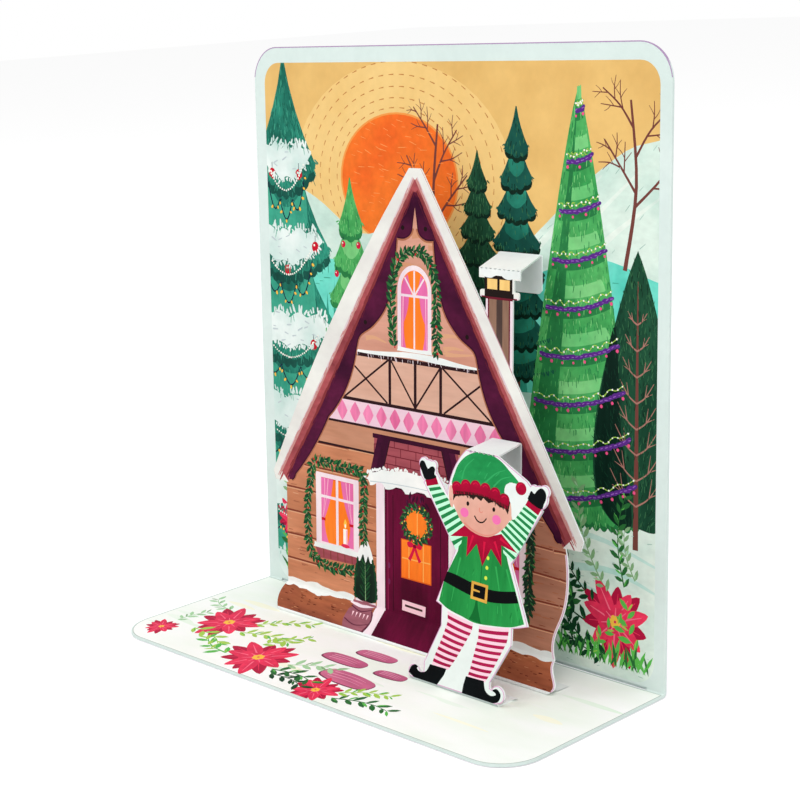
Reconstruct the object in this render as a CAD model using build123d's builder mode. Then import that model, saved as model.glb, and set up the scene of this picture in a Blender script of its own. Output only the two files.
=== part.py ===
# Pop-up greeting card, standing half open: a folded card, a die-cut house front and a die-cut figure.
# Millimetres, +Z up, +X to the right and +Y to the back. The origin is under the middle of the card.

import os
from math import atan2, cos, degrees, hypot, radians, sin, tan

from build123d import *

# The card itself: a tall back panel and a short base, one sheet
card_width = 133.0
back_height = 140.0
base_depth = 51.0
opening_angle = 93.0
card_sheet = 0.6
back_corner_radius = 8.5
base_corner_radius = 10.0
card_fold_radius = 0.4
score_radius = 0.45
score_end_gap = 5.0

# Both die-cut sheets
popup_sheet = 0.4
popup_fold_radius = 0.6
tab_taper = 0.8
perforation_length = 0.8
perforation_width = 0.3
perforation_pitch = 1.35

# House: where it stands and how it is folded
house_offset = 1.9
crease_setback = 12.0
crease_height = 6.6
plinth_reach = 4.8
house_lean = 4.0
house_tab = 7.0

# House: the cut outline, from its middle and up from its crease
gable_height = 106.5
gable_flat = 3.8
eave_reach = 51.3
eave_height = 28.4
eave_drop = 2.3
eave_hook = 0.8
left_roof_bow = 2.6
right_roof_bow = 0.6
wall_reach = 46.3
wall_swell = 0.8
wall_swell_height = 20.5
wall_step_height = 10.0
wall_pinch = 2.8
wall_pinch_height = 5.5
left_plinth_bulge = 1.3
left_bulge_drop = 3.0
right_plinth_bulge = 2.6
right_bulge_drop = 4.6
plinth_corner = 1.1

# Chimney, which ends at the perforated fold
chimney_offset = 26.3
chimney_height = 85.5
cap_width = 12.2
cap_height = 2.2
lantern_width = 8.8
lantern_height = 2.6
ledge_width = 11.6
ledge_height = 1.7
shaft_width = 8.0
cap_corner_radius = 0.5

# House strap, back to the panel
house_strap_rise = 2.0
house_strap_shift = -3.0
house_strap_tab = 9.0

# Figure: where it stands and how it is folded
figure_offset = 35.0
figure_setback = 28.0
figure_lean = 7.0
figure_tab = 6.0

# Figure: the cut outline, from its middle and up from the base
hat_height = 55.0
hat_brow = 44.4
hat_reach = 9.8
hat_bulge = 1.1
tip_height = 50.9
tip_reach = 13.4
left_hand_reach = 15.9
left_hand_height = 48.6
right_hand_reach = 16.7
right_hand_height = 47.9
palm_radius = 2.6
finger_radius = 1.45
thumb_radius = 1.1
finger_spread = 1.5
arm_width = 5.4
shoulder_height = 32.3
left_shoulder = 6.7
right_shoulder = 9.9
hem_height = 19.7
left_hem = 12.0
right_hem = 15.3
hem_sag = 2.4
left_hip = 10.2
right_hip = 10.9
knee_height = 14.6
ankle_height = 5.1
left_ankle = 15.0
right_ankle = 5.2
toe_radius = 1.95
toe_notch = 0.9
left_toe = 17.9
left_toe_height = 1.8
right_toe = 7.6
right_toe_height = 2.9

# Figure strap, back to the house
figure_strap_front = 9.4
figure_strap_back = 8.2
figure_strap_rise = -0.4
figure_strap_shift = -3.8
figure_strap_tab = 8.0

# The overall box is centred on the origin, so the fold lies behind the middle
back_lean = opening_angle - 90
back_top_reach = back_height * sin(radians(back_lean)) + card_sheet * cos(radians(back_lean))
fold_y = (base_depth - back_top_reach) / 2
base_top = card_sheet


def leaning_plane(x, y, z, lean):
    """A plane through a point, facing forward and leaning back from upright. Its y runs up the sheet."""
    return Plane((x, y, z), x_dir=(1, 0, 0), z_dir=(0, -cos(radians(lean)), sin(radians(lean))))


def reach_up(y, z, lean, length):
    """The end, in side view, of a line that starts at y, z and leans back."""
    return y + length * sin(radians(lean)), z + length * cos(radians(lean))


def glued_strap(front, back, front_width, back_width, panel_lean, tab_length):
    """A strap from its front fold to its back fold, and the tab that turns down on the panel there."""
    front_x, front_y, front_z = front
    back_x, back_y, back_z = back
    tab_end = reach_up(back_y, back_z, panel_lean, -tab_length)
    tab_front_y = tab_end[0] - popup_sheet - popup_fold_radius
    bend_share = (tab_front_y - front_y) / (back_y - front_y)
    left_x = (front_x - front_width / 2, back_x - back_width / 2)
    right_x = (front_x + front_width / 2, back_x + back_width / 2)
    left_bend_x = left_x[0] + (left_x[1] - left_x[0]) * bend_share
    right_bend_x = right_x[0] + (right_x[1] - right_x[0]) * bend_share
    strap_reach = abs(front_x) + abs(back_x) + front_width
    with BuildPart() as strap:
        with BuildSketch(Plane.YZ):
            with BuildLine():
                top_line = FilletPolyline(
                    (front_y, front_z), (back_y, back_z), tab_end, radius=popup_fold_radius
                )
                offset(top_line, amount=popup_sheet, side=Side.RIGHT)
            make_face()
        extrude(amount=strap_reach, both=True)
        with BuildSketch(Plane.XY.offset(tab_end[1] - popup_sheet)):
            with BuildLine():
                Polyline(
                    (left_x[0], front_y - popup_sheet),
                    (right_x[0], front_y - popup_sheet),
                    (right_x[0], front_y),
                    (right_bend_x, tab_front_y),
                    (right_x[1], tab_front_y),
                    (right_x[1], back_y + popup_sheet),
                    (left_x[1], back_y + popup_sheet),
                    (left_x[1], tab_front_y),
                    (left_bend_x, tab_front_y),
                    (left_x[0], front_y),
                    close=True,
                )
            make_face()
        extrude(amount=2 * tab_length, mode=Mode.INTERSECT)
        tab_edge = strap.faces().sort_by(Axis.Z)[0]
        chamfer(tab_edge.edges().sort_by(SortBy.LENGTH)[:2], length=tab_taper)
    return strap.part


def perforate(x, y, z, lean, fold_width):
    """Cuts the row of short slits along a fold that faces forward at the given lean."""
    slit_count = int(fold_width / perforation_pitch)
    with BuildSketch(leaning_plane(x, y, z, lean)) as slits:
        with GridLocations(perforation_pitch, perforation_pitch, slit_count, 1):
            SlotOverall(perforation_length, perforation_width)
    extrude(slits.sketch, amount=3 * popup_sheet, both=True, mode=Mode.SUBTRACT)


def bowed_edge(start, end, bow):
    """An arc whose middle stands out of the straight line from start to end, to its left."""
    run = (end[0] - start[0], end[1] - start[1])
    length = hypot(*run)
    middle_x = (start[0] + end[0]) / 2 - run[1] / length * bow
    middle_y = (start[1] + end[1]) / 2 + run[0] / length * bow
    return ThreePointArc(start, (middle_x, middle_y), end)


# Card folder
back_top = reach_up(fold_y, base_top, back_lean, back_height)
folder_side = [(fold_y - base_depth, base_top), (fold_y, base_top), back_top]
score_length = card_width - 2 * score_end_gap

with BuildPart() as card_folder:
    with BuildSketch(Plane.YZ):
        with BuildLine():
            inside_line = FilletPolyline(*folder_side, radius=card_fold_radius)
            offset(inside_line, amount=card_sheet, side=Side.RIGHT)
        make_face()
    extrude(amount=card_width / 2, both=True)
    top_edge = card_folder.faces().sort_by(Axis.Z)[-1]
    fillet(top_edge.edges().sort_by(SortBy.LENGTH)[:2], radius=back_corner_radius)
    front_edge = card_folder.faces().sort_by(Axis.Y)[0]
    fillet(front_edge.edges().sort_by(SortBy.LENGTH)[:2], radius=base_corner_radius)
    # The score along the inside of the fold stops short of both ends
    with BuildSketch(Plane.YZ):
        with Locations((fold_y, base_top)):
            Circle(score_radius)
    extrude(amount=score_length / 2, both=True, mode=Mode.SUBTRACT)

card_folder.part.label = "card_folder"

# House front, in side view: tab on the base, plinth, crease and front, by the line of the printed face
crease_y = fold_y - crease_setback
crease_z = base_top + crease_height
plinth_y = crease_y - plinth_reach
gable_top = reach_up(crease_y, crease_z, house_lean, gable_height + popup_sheet)
chimney_y, chimney_z = reach_up(crease_y, crease_z, house_lean, chimney_height)
house_side = [(plinth_y + house_tab, base_top), (plinth_y, base_top), (crease_y, crease_z), gable_top]
house_plane = leaning_plane(house_offset, crease_y, crease_z, house_lean)
chimney_x = house_offset + chimney_offset

# The strap meets the back panel's face at the height of its far end
panel_fold_z = chimney_z + house_strap_rise
panel_fold_y = fold_y + (panel_fold_z - base_top) * tan(radians(back_lean))
house_strap_lean = degrees(atan2(panel_fold_y - chimney_y, house_strap_rise))

# Heights on the chimney, from the crease
cap_foot = chimney_height - cap_height
lantern_foot = cap_foot - lantern_height
ledge_foot = lantern_foot - ledge_height
foot_line = -crease_height - popup_sheet

with BuildPart() as house_front:
    with BuildSketch(Plane.YZ):
        with BuildLine():
            printed_line = FilletPolyline(*house_side, radius=popup_fold_radius)
            offset(printed_line, amount=popup_sheet, side=Side.RIGHT)
        make_face()
    extrude(amount=card_width, both=True)
    with BuildSketch(house_plane):
        with BuildLine():
            # Plinth, with a bulging side at each end
            right_foot_x = wall_reach - wall_pinch
            left_foot = (-wall_reach + plinth_corner, foot_line)
            right_foot = (right_foot_x, foot_line)
            Line(left_foot, right_foot)
            Spline(
                right_foot,
                (right_foot_x + right_plinth_bulge, -right_bulge_drop),
                (right_foot_x + right_plinth_bulge / 4, -right_bulge_drop / 2),
                (right_foot_x, 0),
            )
            # Right wall, stepping in towards its foot, and the hooked end of the eave
            Spline(
                (right_foot_x, 0),
                (right_foot_x, wall_pinch_height),
                (wall_reach - wall_swell, wall_step_height),
                (wall_reach + wall_swell, wall_swell_height),
                (wall_reach, eave_height - eave_drop),
            )
            Polyline(
                (wall_reach, eave_height - eave_drop),
                (eave_reach - eave_hook, eave_height - eave_drop),
                (eave_reach, eave_height),
            )
            bowed_edge((gable_flat / 2, gable_height), (eave_reach, eave_height), right_roof_bow)
            Line((gable_flat / 2, gable_height), (-gable_flat / 2, gable_height))
            bowed_edge((-eave_reach, eave_height), (-gable_flat / 2, gable_height), left_roof_bow)
            Polyline(
                (-eave_reach, eave_height),
                (-eave_reach + eave_hook, eave_height - eave_drop),
                (-wall_reach, eave_height - eave_drop),
                (-wall_reach, 0),
            )
            Spline(
                (-wall_reach, 0),
                (-wall_reach - left_plinth_bulge, -left_bulge_drop),
                left_foot,
            )
        make_face()
        # Chimney: shaft, ledge, lantern and cap
        with Locations((chimney_offset, eave_height)):
            Rectangle(shaft_width, ledge_foot - eave_height, align=(Align.CENTER, Align.MIN))
        with Locations((chimney_offset, ledge_foot)):
            RectangleRounded(ledge_width, ledge_height, cap_corner_radius, align=(Align.CENTER, Align.MIN))
        with Locations((chimney_offset, ledge_foot)):
            Rectangle(lantern_width, cap_foot - ledge_foot + cap_corner_radius, align=(Align.CENTER, Align.MIN))
        with Locations((chimney_offset, cap_foot)):
            Rectangle(cap_width, cap_height, align=(Align.CENTER, Align.MIN))
    extrude(amount=2 * crease_setback, both=True, mode=Mode.INTERSECT)
    add(
        glued_strap(
            (chimney_x, chimney_y, chimney_z),
            (chimney_x + house_strap_shift, panel_fold_y, panel_fold_z),
            cap_width,
            cap_width,
            back_lean,
            house_strap_tab,
        )
    )
    perforate(chimney_x, chimney_y, chimney_z, (house_lean + house_strap_lean) / 2, cap_width)

house_front.part.label = "house_front"

# Figure, in side view: tab on the base and front, by the line of the printed face
figure_y = fold_y - figure_setback
hat_y, hat_z = reach_up(figure_y, base_top, figure_lean, hat_height)
figure_side = [
    (figure_y + figure_tab, base_top),
    (figure_y, base_top),
    reach_up(figure_y, base_top, figure_lean, hat_height + palm_radius),
]
figure_plane = leaning_plane(figure_offset, figure_y, base_top, figure_lean)

# The strap meets the house's face at the height of its far end
house_fold_z = hat_z + figure_strap_rise
house_fold_y = crease_y + (house_fold_z - crease_z) * tan(radians(house_lean))
figure_strap_lean = degrees(atan2(house_fold_y - hat_y, figure_strap_rise))


def mitten(x, height, outward):
    """A raised hand: palm, fingers towards the outside and thumb towards the head."""
    with Locations((x, height)):
        Circle(palm_radius)
    with Locations((x + outward * finger_spread, height + finger_spread)):
        Circle(finger_radius)
    with Locations((x - outward * finger_spread, height + finger_spread)):
        Circle(thumb_radius)


with BuildPart() as elf_figure:
    with BuildSketch(Plane.YZ):
        with BuildLine():
            printed_line = FilletPolyline(*figure_side, radius=popup_fold_radius)
            offset(printed_line, amount=popup_sheet, side=Side.RIGHT)
        make_face()
    extrude(amount=card_width, both=True)
    with BuildSketch(figure_plane):
        # Hat, head and the uncut card between them and the right arm
        with BuildLine():
            bowed_edge((-hat_reach, hat_brow), (-figure_strap_front / 2, hat_height), hat_bulge)
            Polyline(
                (-figure_strap_front / 2, hat_height),
                (figure_strap_front / 2, hat_height),
                (tip_reach, tip_height),
                (right_hand_reach, right_hand_height),
                (right_shoulder, shoulder_height),
                (-left_shoulder, shoulder_height),
                (-hat_reach, hat_brow),
            )
        make_face()
        # Raised arms
        with BuildLine():
            Polyline(
                (-left_hand_reach - arm_width / 4, left_hand_height - arm_width / 2),
                (-left_hand_reach + arm_width / 2, left_hand_height),
                (-hat_reach, hat_brow),
                (0, shoulder_height),
                (-left_shoulder, shoulder_height),
                close=True,
            )
        make_face()
        with BuildLine():
            Polyline(
                (right_hand_reach + arm_width / 4, right_hand_height - arm_width / 2),
                (right_hand_reach - arm_width / 2, right_hand_height),
                (0, shoulder_height),
                (right_shoulder, shoulder_height),
                close=True,
            )
        make_face()
        mitten(-left_hand_reach, left_hand_height, -1)
        mitten(right_hand_reach, right_hand_height, 1)
        # Tunic, with a sagging hem
        with BuildLine():
            Polyline(
                (right_hem, hem_height),
                (right_shoulder, shoulder_height),
                (-left_shoulder, shoulder_height),
                (-left_hem, hem_height),
            )
            bowed_edge((right_hem, hem_height), (-left_hem, hem_height), hem_sag)
        make_face()
        # Legs, with the uncut card between them
        with BuildLine():
            Polyline(
                (-left_hip, hem_height),
                (-left_hip, knee_height),
                (-left_ankle, ankle_height),
                (right_ankle, ankle_height),
                (right_hip, knee_height),
                (right_hip, hem_height),
                close=True,
            )
        make_face()
        # Shoes with curled toes
        with BuildLine():
            Polyline(
                (-left_ankle, ankle_height),
                (-left_ankle, left_toe_height + toe_notch),
                (-left_toe, left_toe_height),
                (-left_toe, -popup_sheet),
                (right_toe, -popup_sheet),
                (right_toe, right_toe_height),
                (right_ankle, right_toe_height + toe_notch),
                (right_ankle, ankle_height),
                close=True,
            )
        make_face()
        with Locations((-left_toe, left_toe_height), (right_toe, right_toe_height)):
            Circle(toe_radius)
    extrude(amount=figure_tab + 2 * popup_sheet, both=True, mode=Mode.INTERSECT)
    add(
        glued_strap(
            (figure_offset, hat_y, hat_z),
            (figure_offset + figure_strap_shift, house_fold_y, house_fold_z),
            figure_strap_front,
            figure_strap_back,
            house_lean,
            figure_strap_tab,
        )
    )
    perforate(figure_offset, hat_y, hat_z, (figure_lean + figure_strap_lean) / 2, figure_strap_front)

elf_figure.part.label = "elf_figure"

os.makedirs("parts", exist_ok=True)
export_step(card_folder.part, "parts/card_folder.step")
export_step(house_front.part, "parts/house_front.step")
export_step(elf_figure.part, "parts/elf_figure.step")

print("card folder volume", round(card_folder.part.volume, 1))
print("house front volume", round(house_front.part.volume, 1))
print("figure volume", round(elf_figure.part.volume, 1))
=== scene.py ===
from math import atan2, cos, degrees, dist, hypot, pi, radians, sin
import random

import bmesh
import bpy
import numpy as np
from mathutils import Matrix, Vector
from mathutils.geometry import delaunay_2d_cdt


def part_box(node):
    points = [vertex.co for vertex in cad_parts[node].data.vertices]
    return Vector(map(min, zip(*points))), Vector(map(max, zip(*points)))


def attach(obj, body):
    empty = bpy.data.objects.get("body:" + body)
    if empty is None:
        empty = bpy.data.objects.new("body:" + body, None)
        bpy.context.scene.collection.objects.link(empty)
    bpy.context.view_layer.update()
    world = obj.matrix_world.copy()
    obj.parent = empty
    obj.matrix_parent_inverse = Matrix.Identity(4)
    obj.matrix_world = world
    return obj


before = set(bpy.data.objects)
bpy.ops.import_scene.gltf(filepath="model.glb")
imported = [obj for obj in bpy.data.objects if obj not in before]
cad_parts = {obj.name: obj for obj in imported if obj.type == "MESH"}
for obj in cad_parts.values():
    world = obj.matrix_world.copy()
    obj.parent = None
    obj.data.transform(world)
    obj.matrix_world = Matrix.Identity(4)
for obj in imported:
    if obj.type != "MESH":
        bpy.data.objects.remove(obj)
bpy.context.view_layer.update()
print("frame loaded:", sorted(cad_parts))

mm = 0.001

# The sheets as they stand in the model, in mm and degrees
sheets = {
    "baseDepth": 51.0,
    "baseTop": 0.6,
    "panelLean": 3.0,  # back panel, off upright
    "houseOffset": 1.9,  # house centre, right of the card's
    "houseSetback": 12.0,  # crease, forward of the fold
    "creaseHeight": 6.6,
    "houseLean": 4.0,
    "plinthReach": 4.8,  # plinth foot, forward of the crease
    "figureOffset": 35.0,
    "figureSetback": 28.0,
    "figureLean": 7.0,
}


def sheetFace(x, y, z, lean):
    # turns (across, up the sheet, off the sheet) in mm into the model's metres
    a = radians(lean)
    turn = Matrix(
        (
            (1, 0, 0, x),
            (0, sin(a), -cos(a), y),
            (0, cos(a), sin(a), z),
            (0, 0, 0, 1),
        )
    )
    return Matrix.Scale(mm, 4) @ turn


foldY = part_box("card_folder")[0].y / mm + sheets["baseDepth"]
creaseY = foldY - sheets["houseSetback"]
creaseZ = sheets["baseTop"] + sheets["creaseHeight"]
footY = creaseY - sheets["plinthReach"]
figureY = foldY - sheets["figureSetback"]
plinthLean = degrees(atan2(sheets["plinthReach"], sheets["creaseHeight"]))
plinthLength = hypot(sheets["plinthReach"], sheets["creaseHeight"])

panelFace = sheetFace(0, foldY, sheets["baseTop"], sheets["panelLean"])
baseFace = sheetFace(0, foldY, sheets["baseTop"], 90)
houseFace = sheetFace(sheets["houseOffset"], creaseY, creaseZ, sheets["houseLean"])
plinthFace = sheetFace(sheets["houseOffset"], footY, sheets["baseTop"], plinthLean)
figureFace = sheetFace(sheets["figureOffset"], figureY, sheets["baseTop"], sheets["figureLean"])


# Outlines: corners are (x, y) or (x, y, sag); sag bulges the edge that starts there to its left
def bowed(corners, closed=True, steps=8):
    points = []
    count = len(corners)
    last = count if closed else count - 1
    for i in range(last):
        a, b = corners[i], corners[(i + 1) % count]
        sag = a[2] if len(a) > 2 else 0
        points.append((a[0], a[1]))
        if sag:
            dx, dy = b[0] - a[0], b[1] - a[1]
            length = hypot(dx, dy)
            for k in range(1, steps):
                t = k / steps
                out = 4 * sag * t * (1 - t) / length
                points.append((a[0] + dx * t - dy * out, a[1] + dy * t + dx * out))
    if not closed:
        points.append((corners[-1][0], corners[-1][1]))
    return points


def soft(points, closed=True, steps=5):
    # a smooth line through a few points
    count = len(points)
    line = []
    for i in range(count if closed else count - 1):
        if closed:
            p = [points[(i + k) % count] for k in (-1, 0, 1, 2)]
        else:
            p = [points[min(max(i + k, 0), count - 1)] for k in (-1, 0, 1, 2)]
        for k in range(steps):
            t = k / steps
            w = (
                -0.5 * t + t * t - 0.5 * t ** 3,
                1 - 2.5 * t * t + 1.5 * t ** 3,
                0.5 * t + 2 * t * t - 1.5 * t ** 3,
                -0.5 * t * t + 0.5 * t ** 3,
            )
            line.append(tuple(sum(w[j] * p[j][c] for j in range(4)) for c in (0, 1)))
    if not closed:
        line.append(tuple(points[-1][:2]))
    return line


def softLine(*points):
    return soft(points, closed=False)


def cosSin(turn):
    return cos(radians(turn)), sin(radians(turn))


def placed(points, x, y, turn):
    # points about the origin, turned and moved to a spot
    c, s = cosSin(turn)
    return [(x + u * c - v * s, y + u * s + v * c) for u, v in points]


def oval(x, y, rx, ry=None, turn=0, count=20):
    ry = rx if ry is None else ry
    angles = [2 * pi * k / count for k in range(count)]
    return placed([(rx * cos(a), ry * sin(a)) for a in angles], x, y, turn)


def ringLine(x, y, rx, ry=None, count=40):
    loop = oval(x, y, rx, ry, count=count)
    return loop + [loop[0]]


def block(x0, y0, x1, y1):
    return [(x0, y0), (x1, y0), (x1, y1), (x0, y1)]


def roundedBlock(x0, x1, y0, y1, radius, steps=8):
    loop = []
    left, right, foot, head = x0 + radius, x1 - radius, y0 + radius, y1 - radius
    for quarter, (cx, cy) in enumerate(((right, foot), (right, head), (left, head), (left, foot))):
        for k in range(steps + 1):
            c, s = cosSin(90 * (quarter - 1 + k / steps))
            loop.append((cx + radius * c, cy + radius * s))
    return loop


def stroke(line, width, endWidth=None):
    # a brush stroke along a line; its width may run from one end to the other
    endWidth = width if endWidth is None else endWidth
    left, right = [], []
    count = len(line)
    for i, p in enumerate(line):
        a, b = line[max(i - 1, 0)], line[min(i + 1, count - 1)]
        dx, dy = b[0] - a[0], b[1] - a[1]
        length = hypot(dx, dy) or 1
        half = (width + (endWidth - width) * i / (count - 1)) / 2
        left.append((p[0] - dy / length * half, p[1] + dx / length * half))
        right.append((p[0] + dy / length * half, p[1] - dx / length * half))
    return left + right[::-1]


def sweep(width, endWidth, *points):
    # a stroke along a smooth line
    return stroke(softLine(*points), width, endWidth)


def between(outer, inner):
    # the band between two lines that run the same way
    return list(outer) + list(inner)[::-1]


def along(line, t):
    # the point a share t of the way down a line
    spans = [dist(a, b) for a, b in zip(line, line[1:])]
    left = t * sum(spans)
    for (a, b), span in zip(zip(line, line[1:]), spans):
        if left <= span:
            k = left / span
            return (a[0] + (b[0] - a[0]) * k, a[1] + (b[1] - a[1]) * k)
        left -= span
    return line[-1]


def distinct(loop):
    # leaves out points that fall together
    return [p for i, p in enumerate(loop) if dist(p, loop[i - 1]) > film["apart"]]


def inset(loop, inward):
    # a loop drawn in by a set distance
    points = distinct(loop)
    count = len(points)
    area = sum(points[i - 1][0] * points[i][1] - points[i][0] * points[i - 1][1] for i in range(count))
    way = 1 if area > 0 else -1
    moved = []
    for i in range(count):
        a, p, b = points[i - 1], points[i], points[(i + 1) % count]
        before, after = dist(a, p), dist(p, b)
        nx = -(p[1] - a[1]) / before - (b[1] - p[1]) / after
        ny = (p[0] - a[0]) / before + (b[0] - p[0]) / after
        scale = way * inward * 2 / max(nx * nx + ny * ny, 0.8)
        moved.append((p[0] + nx * scale, p[1] + ny * scale))
    return moved


# Inks by name. A plain ink is its colour. A gouache one runs from tone to shade in washes, with brush
# marks over them: tone, shade, brush, amount of wash, amount of marks. Both are long where their cycles
# per metre are few
brushes = {  # cycles of the washes, then of the marks, along x, y and z
    "even": ((70, 70, 70), (500, 500, 500)),
    "level": ((30, 70, 110), (150, 500, 1100)),
    "upright": ((110, 80, 40), (1000, 500, 150)),
    "slant": ((60, 60, 90), (450, 400, 700)),
}

inks = {
    # back scene
    "skyAmber": ("EBC177", "D9AC64", "even", 0.7, 0.02),
    "skyGlow": ("F1CC86", "E7BC71", "even", 0.5, 0.02),
    "skyStroke": "C07F42",
    "sunOrange": ("F67A2C", "EC6224", "even", 0.8, 0.07),
    "sunHalo": "F0984A",
    "sunStroke": "F99A55",
    "hillFar": ("DDEEE2", "BBDACD", "slant", 0.9, 0.05),
    "hillNear": ("E9F3E8", "C4DDD2", "slant", 0.9, 0.05),
    "hillBlue": ("CFE9DF", "A2D4C8", "slant", 0.9, 0.05),
    "hillStroke": "9DBFB2",
    "lakeTeal": ("7FE6D2", "46C2AE", "even", 0.9, 0.07),
    "ridgeTeal": ("3FAE98", "258A79", "upright", 0.8, 0.1),
    "firTeal": ("2F9179", "186051", "even", 1.0, 0.16),
    "firTealDeep": ("1B5A4D", "0F3F37", "even", 0.8, 0.12),
    "firTealLight": ("48AE90", "2F9179", "even", 0.9, 0.1),
    "needleTeal": "43A589",
    "needleTealDeep": "175648",
    "firGreen": ("58B565", "31914B", "even", 1.0, 0.16),
    "firGreenDeep": ("2F8549", "1F6639", "even", 0.8, 0.12),
    "firGreenLight": ("86D186", "5ABA6C", "even", 0.9, 0.08),
    "needleGreen": "7CCB7C",
    "needleGreenDeep": "2A7D46",
    "firDark": ("23533A", "0F3526", "upright", 0.9, 0.15),
    "firDarkest": ("0F2E22", "071D16", "upright", 0.8, 0.12),
    "needleDark": "3B704A",
    "needleDarkDeep": "0B2019",
    "snowTier": ("EFF7F3", "BCDAD2", "even", 0.9, 0.03),
    "barkBrown": "74403A",
    "barkLight": "A8766A",
    "cordNavy": "16283F",
    "garlandViolet": "5B2D86",
    "garlandLilac": "9A63BE",
    # house
    "roofSnow": ("EEEEE7", "DDDAD5", "slant", 0.8, 0.02),
    "roofShade": "DCC8CC",
    "roofRed": ("B4575B", "8E3F45", "slant", 1.0, 0.14),
    "roofRedDeep": "5F1A2C",
    "roofWine": "833438",
    "roofBlush": "C98E8A",
    "roofEdge": "BD9098",
    "bargePlum": ("561638", "350926", "slant", 1.0, 0.14),
    "bargeLight": "6E2450",
    "postPlum": ("3F0B2A", "2A061E", "upright", 0.9, 0.12),
    "wallTimber": ("D99F8A", "C58873", "level", 0.9, 0.05),
    "wallCream": ("DCB09B", "CD9B85", "level", 0.9, 0.05),
    "wallPeach": ("C99277", "BA8062", "level", 1.0, 0.06),
    "wallBoard": ("CF8A66", "B4714F", "level", 1.0, 0.08),
    # boards right of the door: painted shade, darker where the figure shades the wall
    "wallDusk": ("B27A62", "935F4A", "level", 1.0, 0.08),
    "wallPale": "D9A27E",
    "wallBlush": "CF9270",
    "wallShade": ("B06F51", "955640", "level", 0.9, 0.1),
    "plankLine": "7C3A2B",
    "brickRed": ("A9535B", "8C3F4A", "level", 0.9, 0.1),
    "brickLine": "6E2430",
    "railDark": "2B1418",
    "bandLilac": ("F0CCD8", "E2C0D3", "level", 0.7, 0.03),
    "diamondPink": ("F08AB4", "DC6394", "upright", 0.9, 0.1),
    "framePale": ("F8E9EC", "E5CFDA", "upright", 0.8, 0.03),
    "doorMaroon": ("6A0934", "480322", "upright", 1.0, 0.12),
    "doorDeep": "300418",
    "doorLight": "8A2048",
    "paneAmber": ("FF8A2C", "F56E1C", "upright", 0.9, 0.05),
    "paneGlow": "FCB158",
    "paneDeep": "D9561A",
    "curtainPink": ("EE7AB4", "D65C98", "upright", 0.8, 0.06),
    "curtainPale": "F9B9CE",
    "sillBrown": "6F3827",
    "slotPink": "F7CBD4",
    "slotDark": "3F2A26",
    "snowWhite": ("FAFAF6", "DAE3E1", "even", 0.8, 0.02),
    "snowShade": "C3CFD2",
    "plinthStone": ("AE6442", "7F4030", "level", 1.0, 0.16),
    "stoneMark": "5C2417",
    "stoneLight": "BA7853",
    "potRose": ("A4636E", "7C4454", "level", 0.9, 0.12),
    "potDark": "5F2A3C",
    "coneFir": ("1C3626", "0C1B14", "upright", 0.9, 0.15),
    "chimneyTan": ("9E7B66", "80604F", "upright", 0.9, 0.1),
    "chimneyDark": ("5B4842", "42332F", "upright", 0.9, 0.1),
    "chimneyLine": "6A1B2C",
    "lampAmber": ("F8D58C", "EFBD6A", "upright", 0.8, 0.05),
    "lampFrame": "1F1513",
    # leaves, berries, beads
    "leafGreen": "2C6B36",
    "leafDeep": "144227",
    "leafSage": "86AF7E",
    "leafMint": "A6D3A2",
    "leafBright": "5CBB4F",
    "leafLime": "A5CF54",
    "berryRed": "C8152B",
    "berryPink": "EE5488",
    "beadGold": "FAC24A",
    "beadWhite": "FBF8EE",
    # figure
    "hatGreen": ("289B55", "157E40", "slant", 1.0, 0.1),
    "hatStroke": "33A860",
    "tunicGreen": ("2A9A4A", "167B37", "upright", 1.0, 0.1),
    "tunicStroke": "33A754",
    "tunicDeep": "0F6A2E",
    "trimCrimson": ("B20A36", "92042B", "slant", 0.9, 0.1),
    "trimBright": "D21540",
    "trimDeep": "7A0326",
    "hairBrown": ("33201C", "1E120F", "upright", 0.9, 0.15),
    "skinPink": ("E9B6A4", "DE9E8C", "even", 0.8, 0.04),
    "skinShade": "E08B7C",
    "cheekPink": "F073B0",
    "lineDark": "1C0E0E",
    "sleeveMint": "C6FFDA",
    "sleeveGreen": "208348",
    "sockPink": "FBD2E0",
    "sockRed": ("B41C50", "98103F", "level", 0.8, 0.08),
    "mittBlack": ("070D10", "030608", "even", 0.8, 0.08),
    "beltBlack": ("070A0C", "020405", "level", 0.8, 0.08),
    "buckleGold": ("E3AD4C", "CC9134", "even", 0.7, 0.05),
    "buttonGold": "D8EA50",
    "webPale": ("EDF3EF", "DFE9E5", "even", 0.7, 0.02),
    "edgeRose": "DDA6CB",
    "edgeMauve": "B093B8",
    # base
    "baseSnow": ("FFFFFF", "F3FAF0", "level", 1.0, 0.006),
    "baseTint": "FBFBE6",
    "baseMint": ("E4F5E3", "F8FCF6", "level", 0.9, 0.01),
    "stoneMauve": ("D97799", "B95A7F", "level", 1.0, 0.14),
    "stoneRose": "E49AB4",
    "stonePlum": "6E2B48",
    # a grey line round the base's edge: painted shade along the cut edge
    "baseEdgeShade": "B7C4BC",
    "flowerRed": ("F23A5E", "D62850", "even", 0.9, 0.12),
    "flowerDeep": "B4163F",
    "flowerPink": "F7708E",
}


def inkColour(code):
    # sRGB code to the shader's linear colour
    line = []
    for k in (0, 2, 4):
        c = int(code[k:k + 2], 16) / 255
        line.append(c / 12.92 if c <= 0.04045 else ((c + 0.055) / 1.055) ** 2.4)
    return (*line, 1.0)


# Node trees are wired by these: feeds are (input, socket or value)
outputKinds = {"Color": "Color", "Height": "Float", "Geometry": "Geometry"}


def feed(tree, node, *feeds):
    for socket, source in feeds:
        if isinstance(source, bpy.types.NodeSocket):
            tree.links.new(source, node.inputs[socket])
        else:
            node.inputs[socket].default_value = source
    return node


def addNode(tree, kind, *feeds, **settings):
    node = tree.nodes.new(kind)
    for key, value in settings.items():
        setattr(node, key, value)
    return feed(tree, node, *feeds)


def maths(tree, operation, *feeds):
    # a maths node, by its result
    return addNode(tree, "ShaderNodeMath", *enumerate(feeds), operation=operation).outputs[0]


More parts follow.
